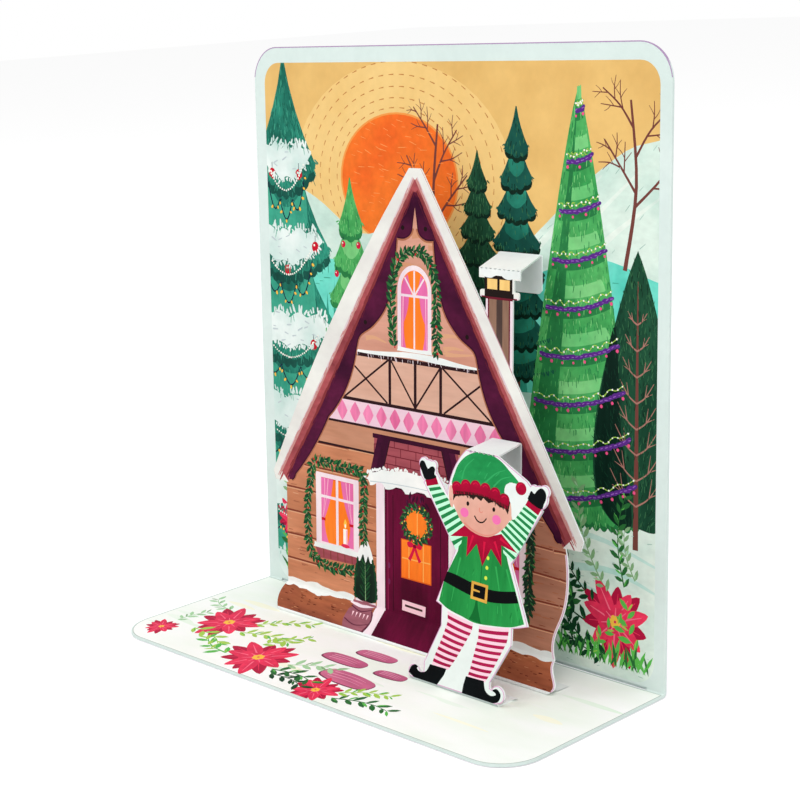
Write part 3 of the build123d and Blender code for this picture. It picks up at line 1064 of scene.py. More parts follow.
def paintWindow(side):
    middle, half, sill, head = house["window"]
    middle = middle if side < 0 else -middle - 0.4
    left, right = middle - half, middle + half
    yield "brickRed", [(left - 0.6, sill), (right + 0.6, sill), (right + 0.4, sill - 2.3),
        (left + 0.9, sill - 3)]
    for k in range(1, 6):
        x = left + k * (right - left) / 6
        yield "sillBrown", stroke([(x, sill), (x + 0.1, sill - 2.6)], 0.25)
    yield "framePale", block(left, sill, right, head)
    yield "paneAmber", block(left + 2, sill + 1.4, right - 1.9, head - 1.2)
    yield "paneDeep", stroke([(left + 2.1, head - 1.3), (right - 1.9, head - 1.3)], 0.3)
    # a pair of tied curtains and a candle on the sill
    for way in (-1, 1):
        edge = middle + way * (half - 1.95)
        curtain = [(edge, head - 1.2), (middle + way * 1.4, head - 1.2, way * -0.5),
            (edge - way * 1.1, sill + 7.4, way * 0.4), (edge - way * 2.6, sill + 1.4), (edge, sill + 1.4)]
        yield "curtainPink", bowed(curtain)
        for k in (1, 2):
            fold = [(edge - way * 1.3 * k, head - 1.3, way * -0.3), (edge - way * 0.5, sill + 7.6)]
            yield "curtainPale", stroke(bowed(fold, closed=False), 0.24, 0.1)
        x0, x1 = sorted((edge, edge - way * 1.5))
        yield "berryRed", block(x0, sill + 6.9, x1, sill + 7.6)
    yield "framePale", block(middle - 0.45, sill, middle + 0.45, head)
    yield "framePale", block(left, sill + 12.7, right, sill + 13.4)
    candle = middle + (2.9 if side < 0 else -2.9)
    yield "beadWhite", block(candle - 0.75, sill + 1.4, candle + 0.75, sill + 6)
    yield "curtainPale", block(candle + 0.2, sill + 1.4, candle + 0.75, sill + 5.8)
    yield "flowerRed", oval(candle, sill + 1.7, 1.5, 0.5)
    yield "beadGold", bowed([(candle, sill + 5.9, 0.55), (candle, sill + 8.6, 0.55)])
    yield "beadWhite", oval(candle, sill + 6.8, 0.25, 0.5)
    crest = [(right + 0.9, sill + 0.9, 0.2), (middle + 1, sill + 1.5, 0.3), (left - 0.8, sill + 0.9, 0.2)]
    yield "snowWhite", bowed([(left - 1.2, sill - 0.4), (right + 1.2, sill - 0.4)] + crest)


def paintArchWindow():
    spring = 78.4  # where the arch starts
    for ink, grow in (("framePale", 0.95), ("paneAmber", -0.25)):
        half = 4.6 + grow
        foot = 64.4 if grow > 0 else 64.7
        arch = [(-half - 0.25, foot), (half - 0.25, foot)]
        for a in range(0, 181, 12):
            c, s = cosSin(a)
            arch.append((half * c - 0.25, spring + (half + 0.4) * s))
        yield ink, arch
    for side in (-1, 1):
        x = side * 4.35 - 0.25
        curtain = [(x, 64.8), (x - side * 1.6, 64.8, side * -0.3), (x - side * 0.9, 71, side * 0.5),
            (x - side * 2.6, 78), (x, 78)]
        yield "curtainPink", bowed(curtain)
        yield "curtainPale", stroke([(x - side * 0.7, 77.4), (x - side * 0.4, 65.2)], 0.3, 0.12)
        top = [(half * side * c * 0.99 - 0.25, spring + half * s) for c, s in map(cosSin, (10, 35, 60))]
        yield "curtainPink", [(x, 77.4), *top, (side * 0.9 - 0.25, 77.4)]
    yield "framePale", block(-0.5, 64.9, 0, 83)
    yield "framePale", block(-4.8, 76.9, 4.3, 77.5)
    for x in (-3.4, 2.9):
        yield "framePale", stroke([(-0.25, 77.2), (x, 81.4)], 0.45)
    yield "snowWhite", bowed([(-6, 64), (5.6, 64), (5.2, 65.1, 0.3), (-5.6, 65.1)])


def coniferSide(x, side):
    # one side of the clipped fir, from its foot to its tip
    shape = ((1.2, 0.2), (3.7, 1.4), (4, 4.4), (3.6, 8), (2.4, 12), (0.4, 15.2))
    return softLine(*[(x + side * u, v) for u, v in shape])


def paintConifer(x):
    # a clipped fir in a jar beside the door, with snow on its tip; the jar itself is on the plinth
    yield "coneFir", coniferSide(x, 1) + coniferSide(x, -1)[::-1]
    yield "leafSage", stroke([(x, 0.8), (x - 0.1, 10.5)], 0.3, 0.12)
    for y, side in ((2.4, -1), (3.4, 1), (4.8, -1), (5.8, 1), (7.2, -1), (8.2, 1), (9.6, -1)):
        yield "leafGreen", stroke([(x, y), (x + side * 1.9, y + 2)], 0.22, 0.08)
    yield "potRose", bowed([(x - 3.4, -1.6), (x + 3.2, -1.6), (x + 3.4, 0.3, -0.3), (x - 3.6, 0.3)])
    yield "framePale", sweep(0.7, 0.5, (x - 3.6, 0.7), (x, -0.1), (x + 3.5, 0.6))


def snowOnConifer(x):
    drips = [(2.9, 11.2), (1.8, 10.6), (1, 12.2), (0.1, 10.4), (-0.8, 12.4), (-1.9, 10.5), (-2.9, 11.4)]
    crest = [(0, 16.6), (1.7, 14.4), *drips, (-1.7, 14.4)]
    yield "snowWhite", soft([(x + u, v) for u, v in crest], steps=4)


def paintCrease():
    # snow drifted along the foot of the wall
    for x0, x1, seed in ((-47.5, -21.4, 3), (-14, -13, 4), (13.8, 14.6, 5), (21.6, 48, 6)):
        draw = random.Random(seed)
        top, x = [], x1
        while x > x0 + 1.2:
            top.append((x, draw.uniform(0.9, 1.9), draw.uniform(-0.5, 0.2)))
            x -= draw.uniform(2.6, 5.4)
        yield "snowWhite", bowed([(x0, -1.5), (x1, -1.5)] + top + [(x0, 1)])


def paintRoof():
    for side in (-1, 1):
        snow, red, barge = (slope(side, band) for band in ("snow", "red", "barge"))
        edge = bargeEdge(side)
        yield "wallShade", stroke(edge[8:], 1.3, 1)
        yield "bargePlum", between([(0, 102)] + barge + [(side * 45.3, 26.8)], [(0, 98.4)] + edge)
        yield "postPlum", stroke(edge, 0.4)
        yield "roofRed", between([(0, 105)] + red + [(side * 47.6, 26.4)],
            [(0, 101.2)] + barge + [(side * 45.3, 26.4)])
        yield "roofWine", stroke([(p[0] + side * 0.42, p[1] + 0.42) for p in barge], 1, 0.7)
        yield "roofRedDeep", stroke(barge, 0.6, 0.4)
        yield "roofBlush", stroke(red, 0.3, 0.4)
        yield "roofShade", stroke([(p[0] + side * 0.4, p[1] + 0.4) for p in red], 0.6, 0.9)
        yield "roofSnow", between(snow + [(side * 50.4, 26)],
            [(p[0] + side * 0.6, p[1] + 0.6) for p in red] + [(side * 45.6, 26)])
    yield "roofSnow", [(-2.6, 107.4), (-1, 104.9), (-0.3, 104), (0.3, 104), (1, 104.9), (2.6, 107.4)]
    yield "roofEdge", stroke(slope(1, "snow")[:-2], 0.34, 0.2)
    for x, y in ((-4, 92.8), (3.4, 92.9), (-16.8, 69.6), (16.6, 69.4)):
        yield "lineDark", oval(x, y, 0.55)


def paintChimney():
    yield "framePale", block(20, 40, 33, 79.4)
    bricks = (("Line", 22.9, 23.3), ("Tan", 23.3, 25.5), ("Dark", 25.5, 27.3), ("Tan", 27.3, 29.2),
        ("Line", 29.2, 29.6))
    for ink, x0, x1 in bricks:
        yield "chimney" + ink, block(x0, 40, x1, 79.4)
    yield "chimneyLine", block(21, 78.7, 31.6, 79.3)
    yield "lampFrame", block(21.9, 79.2, 30.6, 80.3)
    yield "lampFrame", block(21.9, 80.2, 30.2, 84)
    yield "lampAmber", block(22.7, 80.9, 25.7, 83.2)
    yield "lampAmber", block(26.4, 80.9, 29.4, 83.2)
    drips = [(19, 83.4), (21.2, 83.9, -0.3), (24.2, 83.5, 0.3), (27, 84, -0.4), (30.1, 83.5, 0.2),
        (33.5, 83.4)]
    yield "snowWhite", bowed(drips + [(33.5, 90), (19, 90)])


def paintHouse():
    yield "roofSnow", block(-60, -3, 60, 120)
    for paint in (paintChimney, paintWalls, paintBalcony, paintArchWindow, paintLintel, paintDoor,
            paintDoorSnow):
        yield from paint()
    for side in (-1, 1):
        yield from paintWindow(side)
    x, y, _, ry = house["wreath"]
    yield from paintBow(x - 0.7, y - ry - 1.6, 2.4, "trimBright")
    for x in house["conifers"]:
        yield from paintConifer(x)
        yield from snowOnConifer(x)
    yield from paintCrease()
    yield from paintRoof()


def paintPot(x, side):
    # a round jar that stands across the plinth; side is -1 left of the door, 1 right of it
    body = [(-3.8, 6.5), (-5, 4.9), (-5.2, 2.7), (-4.1, 0.8), (-1.6, -0.2), (1.3, 0.3), (3.1, 2.3),
        (3.9, 4.7), (2.9, 6.8)]
    rim = [(-3.6, 6.2), (2.7, 6.5), (3.4, 9.4), (-4.6, 9.4)]
    yield "potRose", soft([(x - side * u, v) for u, v in body], steps=4)
    yield "potDark", sweep(0.9, 0.3, *[(x - side * u, v) for u, v in body[4:]])
    yield "potRose", [(x - side * u, v) for u, v in rim]
    yield "potDark", sweep(0.35, 0.2, (x + side * 4.3, 6.9), (x + side * 0.6, 6), (x - side * 3.2, 7.2))
    yield "framePale", sweep(0.9, 0.6, (x + side * 5, 8), (x + side, 7.3), (x - side * 3.6, 8.2))
    yield "potDark", sweep(0.3, 0.2, (x + side * 5, 3.4), (x + side, 2.4), (x - side * 3.4, 3.4))
    for k in range(5):
        u = -3.2 + 1.3 * k
        yield "slotPink", [(x - side * u, 5.6), (x - side * (u + 0.6), 5.6), (x - side * (u + 0.3), 4.3)]


def paintPlinth():
    length = plinthLength
    left, right = house["door"]
    outLeft, outRight = house["doorFrame"]
    yield "plinthStone", block(-60, -1, 60, length + 1)
    yield "framePale", [(outLeft - 1.7, -0.6), (outRight - 0.6, -0.6), (outRight, length + 1),
        (outLeft, length + 1)]
    yield "doorMaroon", [(left - 1.6, -0.6), (right - 2.9, -0.6), (right, length + 1), (left, length + 1)]
    for x, side in zip(house["conifers"], (-1, 1)):
        yield from paintPot(x, side)
    for x0, x1, seed in ((-50, -22.8, 31), (23.2, 50, 32)):
        draw = random.Random(seed)
        hem, x = [], x0
        while x < x1:
            hem.append((x, length - draw.uniform(0.2, 1.3), draw.uniform(-0.4, 0.3)))
            x += draw.uniform(2.4, 4.6)
        yield "snowWhite", bowed(hem + [(x1, length + 1.5), (x0, length + 1.5)])


def paintBend():
    # the narrow strip that rounds the crease
    yield "snowWhite", block(-60, -1, 60, 3)
    for x in house["conifers"]:
        yield "potRose", block(x - 4.3, -1, x + 4.1, 3)
    for part, ink in (("doorFrame", "framePale"), ("door", "doorMaroon")):
        yield ink, block(house[part][0], -1, house[part][1], 3)


def paintRims(loop, area, rims):
    # the pale edge that the die leaves along a wall; a rim is its side, width and ink
    points = distinct(loop)
    foot, head, reach = area
    for side, width, ink in rims:
        inner = inset(loop, width)
        kept = [k for k, p in enumerate(points) if foot < p[1] < head and side * p[0] > reach]
        for k in kept:
            after = (k + 1) % len(points)
            if after in kept:
                yield ink, [points[k], points[after], inner[after], inner[k]]


def garland(lines, length, spacing):
    # leaves in two greens to both sides of a cord, with pale strokes between them
    for brush, ink, gap, long, wide, fan, sway, extra in (
        (brushLeaf, "leafDeep", 1, 1, 0.48, 42, 0.25, {}),
        (brushLeaf, "leafGreen", 1.3, 0.95, 0.34, 60, 0.3, {"lift": 0.01}),
        (brushLeaf, "leafDeep", 1.5, 0.9, 0.3, 14, 0.4, {"aside": 0.3}),
        (brushDash, "leafSage", 2.6, 0.6, 0.1, 48, 0.4, {"lift": 0.03}),
    ):
        yield row(lines, brush, ink, spacing * gap, length * long, length * wide, fan, sway=sway, **extra)


def houseGreenery():
    window = softLine((-35, 32.6), (-36.7, 31.4), (-37.4, 26.6), (-38.4, 21.4), (-38.3, 15.9), (-37.7, 10.9),
        (-34.9, 7.8), (-28.5, 6.8), (-22.1, 7.4))
    head = softLine((-35.6, 32.9), (-30.5, 33.3), (-24.5, 32.9), (-18.9, 32.9), (-17.6, 29), (-18, 22),
        (-17.8, 15.8))
    farHead = softLine((18, 30), (19.5, 33), (26, 33.3), (33, 32.6), (35.5, 30))
    far = softLine((35.6, 30.2), (36.3, 24), (35.6, 17), (36, 11), (34.2, 8), (28.5, 6.8), (22.5, 7.4))
    arch = softLine((-7.2, 64.9), (-7.5, 70.6), (-8, 75), (-7.5, 80.1), (-6.3, 83.9), (-3.7, 86.6),
        (-0.5, 87.7), (2.7, 87.1), (5.1, 84.7), (6.7, 81.2), (7, 76.8), (6.9, 72), (7.2, 65.2))
    x, y, rx, ry = house["wreath"]
    ring = ringLine(x, y, rx, ry)
    yield from garland([window, head, farHead, far, arch], 2.5, 0.66)
    yield row([window, head, arch], brushBead, "berryRed", 6.5, 0.7, 0.7, aside=0.8, lift=0.04)
    yield row([far], brushLeaf, "coneFir", 0.5, 2.6, 0.9, fan=34, sway=0.3, aside=0.3, lift=0.02)
    yield from garland([ring], 1.8, 0.5)
    yield row([ring], brushBead, "beadGold", 1.9, 0.55, 0.55, aside=0.9, lift=0.04)
    yield row([ring], brushBead, "berryRed", 2.7, 0.7, 0.7, aside=0.9, lift=0.04)
    top = softLine((x - 3.2, y + ry + 1.8), (x - 1.2, y + ry + 1.1), (x + 0.8, y + ry + 1.1),
        (x + 2.8, y + ry + 1.8))
    yield row([top], brushLeaf, "postPlum", 0.6, 2.4, 0.8, fan=65, sway=0.5)
    yield row([top], brushLeaf, "bargeLight", 1.3, 1.9, 0.35, fan=70, sway=0.5)
    for x in house["conifers"]:
        column = [(x, 0.8), (x, 9.6)]
        yield row([column], brushLeaf, "leafDeep", 0.5, 3.0, 0.5, fan=42, sway=0.2)
        yield row([column], brushLeaf, "leafGreen", 1.5, 2.4, 0.3, fan=42, sway=0.2)
        for side in (-1, 1):
            edge = [p for p in coniferSide(x - side * 0.5, side) if 0.8 < p[1] < 11.2]
            yield row([edge], brushLeaf, "leafDeep", 0.62, 1.5, 0.8, turn=-side * 30, sway=0.2)


# Figure, in mm across from its middle and up from the base
figure = {
    # outer edge of the sleeve, then its inner edge, each from cuff to shoulder
    "leftArm": ((-16.1, 45.5), (-8.6, 35), (-12.7, 46.2), (-3.9, 38.4)),
    "rightArm": ((16.9, 44.5), (11.9, 34.8), (13.1, 45.9), (6, 38.4)),
    "sleeveStripes": 15,
    "sockStripes": 17,
    "cheeks": (-4.4, 5.1),
    "eyes": (-3.5, 4.2),
    "fringe": ((-7.6, 45.6), (-3.6, 46), (0.4, 46.1), (4.4, 45.6), (8.2, 44.8)),
}


def stripes(outer, inner, count, pale, dark, sag=0.0):
    for k in range(count):
        a, b = along(outer, k / count), along(outer, (k + 1) / count)
        c, d = along(inner, (k + 1) / count), along(inner, k / count)
        yield dark if k % 2 else pale, bowed([a, (b[0], b[1], sag), c, (d[0], d[1], -sag)])


def paintLegs():
    left = [(-8.3, 18.2), (-8.2, 15.8), (-9.5, 12.3), (-11.5, 7.9), (-12.6, 5)]
    leftIn = [(-0.4, 17.2), (-0.9, 15), (-2.6, 12.2), (-5.4, 7.7), (-7.5, 4.9)]
    right = [(1.3, 17), (1.2, 14.3), (0.3, 11), (-0.7, 7.2), (-1.6, 4.6)]
    rightOut = [(10.1, 18.4), (9.7, 15.2), (8, 12), (5.9, 8.2), (3.8, 4.8)]
    count = figure["sockStripes"]
    for edges in ((left, leftIn), (right, rightOut)):
        yield from stripes(*edges, count, "sockPink", "sockRed", -0.15)


def paintShoes():
    left = softLine((-19.8, 1.5), (-19, 3.1), (-17.2, 4), (-15.9, 3.9), (-17.2, 3.1), (-16.2, 2.4),
        (-14.3, 3), (-13.1, 4.9))
    left += [(-8, 5), (-8.7, 3.4), (-10.9, 0.5), (-17.6, 0.45)]
    right = softLine((3.4, 5), (3.9, 3), (5.4, 2.2), (6.9, 2.6), (6.9, 3.1), (6, 3.5), (7.3, 4.1), (8.5, 3),
        (7.6, 1.2), (5, 0.4))
    right += [(-3.1, 0.4), (-2.7, 2.6), (-2, 4.8)]
    for shoe in (left, right):
        yield "mittBlack", shoe


def paintTunic():
    hem = softLine((14.3, 20.1), (10.8, 18.7), (6.2, 17.9), (0.3, 17.3), (-3.8, 17.9), (-8.2, 18.7),
        (-11.1, 20))
    right = [(-5.3, 36.4), (7.6, 36.4), (9, 32.3), (12.4, 24.6)]
    yield "tunicGreen", right + hem + [(-9.6, 25.6), (-5.9, 32.3)]
    yield "tunicDeep", bowed([(0, 22.6), (0.5, 22.6, -0.2), (1.9, 17.4), (-1.9, 17.8, -0.4)])
    yield "tunicDeep", stroke([(1.4, 31.2), (1.25, 26.2)], 0.2)
    for x in (-6, 6.5, 10.2):
        yield "tunicStroke", sweep(0.5, 0.15, (x * 0.84, 31), (x, 27), (x * 1.22, 20.6))
    for x, y in ((3.1, 32.4), (2.9, 30.2), (2.7, 27.9)):
        yield "buttonGold", oval(x, y, 0.42, 0.45, count=12)
    top = softLine((-9.1, 27.1), (-6.2, 26.9), (-1.5, 26.1), (3.5, 25.6), (7.5, 25.9), (11.4, 26.7))
    low = softLine((-9.9, 24.7), (-6.5, 24), (-1.4, 23.1), (3.5, 22.8), (7.9, 23.3), (12.4, 24.3))
    yield "beltBlack", between(top, low)
    yield "buckleGold", [(-1.4, 26.5), (3.5, 26.4), (3.3, 22.3), (-1.6, 22.5)]
    yield "beltBlack", [(-0.7, 25.9), (2.8, 25.8), (2.6, 23), (-0.9, 23.1)]
    yield "buckleGold", stroke([(-0.9, 24.6), (1.1, 24.5)], 0.5, 0.35)


def paintArms():
    sleeve = ("sleeveMint", "sleeveGreen")
    for arm in (figure["leftArm"], figure["rightArm"]):
        yield from stripes(arm[:2], arm[2:], figure["sleeveStripes"], *sleeve)
    yield from stripes([(-8.6, 34.9), (-6.6, 32.4)], [(-4.6, 36.4), (-5, 34.2)], 3, *sleeve)
    yield from stripes([(11.9, 34.6), (9.8, 32.9)], [(7, 36.6), (7.5, 34.4)], 3, *sleeve)
    yield "trimCrimson", [(-16.7, 46.5), (-13.4, 47.6), (-12.6, 46.1), (-16.2, 45.1)]
    yield "trimCrimson", [(13.8, 47), (17.6, 45.6), (16.8, 44.2), (13.1, 45.8)]
    left = [(-16.6, 46.5), (-17.9, 48.2), (-18.7, 49.6), (-18.2, 50.6), (-17.2, 50.5), (-16.1, 49.1),
        (-15.3, 49.6), (-14.4, 49.8), (-13.8, 49.2), (-14, 48.2), (-13.4, 47.5)]
    right = [(13.9, 46.9), (14.1, 48.2), (14.6, 49.1), (15.5, 48.6), (16.3, 49.5), (17.4, 50.1), (18.5, 49.5),
        (18.8, 48.2), (18.2, 46.7), (17.5, 45.6)]
    for mitt in (left, right):
        yield "mittBlack", soft(mitt, steps=3)


def paintCollar():
    points = [(-8.4, 35.2), (-3.9, 38.6), (-1.7, 37.7), (1.8, 36.9), (5, 37.8), (6.7, 38.4), (11.5, 35),
        (6.8, 35.9), (7.1, 31.3), (3.9, 34.6), (1.5, 30.3), (-0.4, 34.9), (-3.3, 31.5), (-3.2, 36)]
    yield "trimCrimson", points
    for a, b in (((-1.5, 36.6), (-3, 32.6)), ((1.9, 35.8), (1.6, 31.6)), ((4.8, 36.4), (6.8, 32.6)),
            ((6.4, 37.4), (9.9, 35.7))):
        yield "trimBright", stroke([a, b], 0.7, 0.15)


def paintHead():
    # a plain cheerful face: two dots, a small nose and a smile
    for side, x in ((-1, -8.1), (1, 8.9)):
        ear = [(x, 41.6), (x + side * 1.1, 43.4), (x + side, 46.4), (x - side * 0.6, 45.6)]
        yield "skinPink", soft(ear, steps=4)
        yield "skinShade", stroke([(x + side * 0.5, 43.2), (x + side * 0.5, 45.2)], 0.35, 0.12)
    yield "skinPink", soft([(-8.3, 45.4), (-7.6, 42.2), (-5, 38.9), (-1.6, 37.3), (1.4, 36.9), (4, 37.4),
        (7.2, 39.6), (9.2, 42.6), (9, 46.2), (0.4, 49)])
    yield "skinShade", sweep(0.45, 0.12, (-4.4, 38.9), (-1.4, 37.6), (1.5, 37.2), (4.2, 37.8), (6.6, 39.4))
    for x in figure["cheeks"]:
        yield "cheekPink", oval(x, 41.2, 1.25, 1.05)
    for x in figure["eyes"]:
        yield "lineDark", oval(x, 43.3, 0.42, 0.52, count=14)
    yield "skinShade", sweep(0.3, 0.2, (0.1, 43), (0, 42.3), (0.6, 42), (1, 42.3))
    yield "lineDark", sweep(0.36, 0.3, (-1.4, 41), (-0.6, 40.1), (0.4, 39.8), (1.4, 40.1), (2.2, 41))
    fringe = [(-7.9, 46.4), (-8, 43.2), (-7.2, 44.3), (-5.6, 44.7), (-3.4, 45.1), (-1.9, 44.4), (-1.2, 45.2),
        (0.4, 44.5), (1, 45.3), (2.6, 44.4), (4.2, 45), (5.8, 44.1), (7.4, 44), (8.3, 42.9), (8.9, 46),
        (0.5, 48.4)]
    yield "hairBrown", fringe
    for x in (-6.4, -4.4, -2.2, 1.8, 4.0, 6.2):
        yield "lineDark", stroke([(x * 0.94, 46.6), (x, 45)], 0.22, 0.08)


def paintHat():
    crown = soft([(-8, 46.4), (-7.7, 49.6), (-6.3, 52.1), (-3.6, 54.2), (0.6, 55.3), (5.1, 54.3), (8.6, 52.1),
        (11.2, 50.1), (9.2, 49.9), (7.5, 49.3), (7, 47.7), (7.4, 45.6), (0.4, 47.4)])
    yield "hatGreen", crown
    for line in ([(-5.6, 48.4), (-4.6, 51.2), (-2.2, 53.4)], [(1.2, 48.6), (4.4, 51.2), (7, 52.3)],
            [(3.8, 48.2), (6, 50.2), (8.8, 51.2)]):
        yield "hatStroke", sweep(0.45, 0.12, *line)
    yield "webPale", soft([(8, 49.6), (9.6, 49.9), (10.6, 48.8), (12, 46.6), (13, 46.1), (11.4, 43.6),
        (9.6, 42), (9, 45.4), (7.4, 47.4)], steps=3)
    yield "trimCrimson", sweep(1.5, None, (-8.2, 45.4), (-4.4, 46), (0.4, 46.4), (4.6, 45.8), (8.3, 44.6))
    for x, y in [(-7, 46.4), (-4.3, 47.2), (-1.4, 47.5), (1.5, 47.4), (4.4, 46.9), (7.1, 46)]:
        yield "trimCrimson", oval(x, y, 1.5, 1.3)
        yield "trimBright", sweep(0.3, 0.15, (x - 0.8, y + 0.3), (x, y + 0.75), (x + 0.7, y + 0.4))
    yield "trimCrimson", oval(11.7, 49.1, 1.55, 1.4)
    yield "trimBright", sweep(0.35, 0.15, (10.8, 49.2), (11.2, 49.9), (12, 50.1))


def paintFigure(loop):
    yield "edgeRose", loop
    yield "webPale", inset(loop, 0.2)
    for paint in (paintLegs, paintShoes, paintTunic, paintArms, paintCollar, paintHead, paintHat):
        yield from paint()


# Base, in mm across from the middle and back from the fold (so every y is below 0)
base = {
    "margin": 0.35,  # bare card round the print
    "stones": ((-0.2, -23.2, 6.0, 1.9, 2), (-4.6, -29.4, 6.9, 2.2, 0), (4.6, -37.2, 8.2, 3.0, -2),
        (11.0, -29.6, 4.6, 1.7, 4)),
    "blooms": ((-47.0, -30.0, 9.2, 10), (-22.5, -41.0, 9.6, 40), (3.5, -46.0, 6.6, 0),
        (-58.6, -42.5, 4.6, 25)),
    "stems": (  # x, y, length, turn, leaf ink, leaf length
        (-39, -33, 15, 4, "leafLime", 4.2),
        (-40, -27, 14, 30, "leafLime", 3.6),
        (-51, -38, 14, -20, "leafLime", 4.4),
        (-54, -24, 9, 155, "leafMint", 3.4),
        (-31, -44, 12, 156, "leafBright", 4.6),
        (-28, -35, 11, 52, "leafLime", 3.4),
        (-14, -44, 13, -4, "leafGreen", 4.6),
        (-13, -40, 12, 18, "leafMint", 4.2),
        (-12, -46, 11, -10, "leafDeep", 3.8),
        (10, -47, 15, 4, "leafGreen", 4.0),
        (9, -44, 12, 22, "leafLime", 3.4),
        (-59, -37, 8, 72, "leafMint", 3.2),
    ),
}


def petal(x, y, length, width, turn):
    # a pointed petal from its foot outwards
    shape = [(0, 0), (0.28, 0.42), (0.62, 0.5), (1, 0.04), (0.62, -0.46), (0.28, -0.4)]
    return placed(soft([(u * length, v * width) for u, v in shape], steps=3), x, y, turn)


def bloom(x, y, reach, turn, petals=7):
    # a winter flower: broad petals over deeper ones, each with a vein, and a few yellow beads
    rounds = ((1.0, 0.4, 0.5, "flowerDeep", "flowerRed"), (1.0, 0.4, 0, "flowerRed", "flowerPink"),
        (0.46, 0.26, 0.5, "flowerRed", "flowerPink"))
    for size, width, shift, ink, vein in rounds:
        for k in range(petals):
            a = turn + (k + shift) * 360 / petals + 8 * sin(3.0 * k + size)
            long = reach * size * (1 + 0.14 * sin(2.2 * k + 3 * size))
            yield ink, petal(x, y, long, reach * width, a)
            c, s = cosSin(a)
            line = [(x + c * long * 0.2, y + s * long * 0.2), (x + c * long * 0.8, y + s * long * 0.8)]
            yield vein, stroke(line, reach * 0.05, reach * 0.015)
    for k in range(6):
        a = 2 * pi * k / 6
        yield "beadGold", oval(x + cos(a) * reach * 0.1, y + sin(a) * reach * 0.1, reach * 0.07, count=8)


def stemLine(x, y, length, turn, curl=0.16):
    line = [(t * length, curl * length * sin(t * 2.4)) for t in (0, 0.25, 0.5, 0.75, 1.0)]
    return softLine(*placed(line, x, y, turn))


def paintStems(stems):
    for *run, ink, leaf in stems:
        yield ink, stroke(stemLine(*run), leaf * 0.12, leaf * 0.05)


def leafRows(stems, fan=46):
    # the leaves along each stem, and a paler or darker one between them
    other = {
        "leafMint": "leafSage",
        "leafSage": "leafMint",
        "leafGreen": "leafBright",
        "leafDeep": "leafGreen",
        "leafBright": "leafLime",
        "leafLime": "leafBright",
    }
    for *run, ink, leaf in stems:
        line = [stemLine(*run)]
        yield row(line, brushLeaf, ink, leaf * 0.4, leaf, leaf * 0.4, fan=fan, sway=0.2)
        yield row(line, brushLeaf, other[ink], leaf * 0.85, leaf * 0.8, leaf * 0.2, fan=fan - 8, sway=0.25)


def paintBase(loop):
    yield "baseSnow", block(-70, -60, 70, 5)
    draw = random.Random(8)
    for k in range(30):
        x, y = draw.uniform(-62, 62), draw.uniform(-48, -3)
        wide, tall = draw.uniform(3, 9), draw.uniform(0.5, 1.3)
        wisp = [(x - wide, y), (x - wide * 0.3, y + tall), (x + wide * 0.6, y + tall * 0.7),
            (x + wide, y - 0.2), (x, y - tall * 0.8)]
        yield "baseMint" if k % 3 else "baseTint", soft(wisp)
    # a grey line round the base's cut edge: painted shade along the edge
    yield "baseEdgeShade", stroke(loop + [loop[0]], 0.4)
    for x, y, rx, ry, turn in base["stones"]:
        shape = soft([(-rx, 0), (-rx * 0.82, ry * 0.8), (0, ry), (rx * 0.85, ry * 0.7), (rx, -0.1),
            (rx * 0.8, -ry * 0.8), (-rx * 0.1, -ry), (-rx * 0.86, -ry * 0.7)])
        c, s = cosSin(turn)
        for ink, size, lift in (("stonePlum", 1.04, -0.2), ("stoneMauve", 1.0, 0.1)):
            yield ink, [(x + (u * c - v * s) * size, y + lift + (u * s + v * c) * size) for u, v in shape]
        for k in range(3):
            line = softLine((x - rx * 0.7, y + ry * (0.5 - 0.4 * k)), (x, y + ry * (0.6 - 0.4 * k)),
                (x + rx * 0.6, y + ry * (0.4 - 0.36 * k)))
            yield "stoneRose", stroke(line, 0.34, 0.1)
    yield from paintStems(base["stems"])
    for x, y, reach, turn in base["blooms"]:
        yield from bloom(x, y, reach, turn)


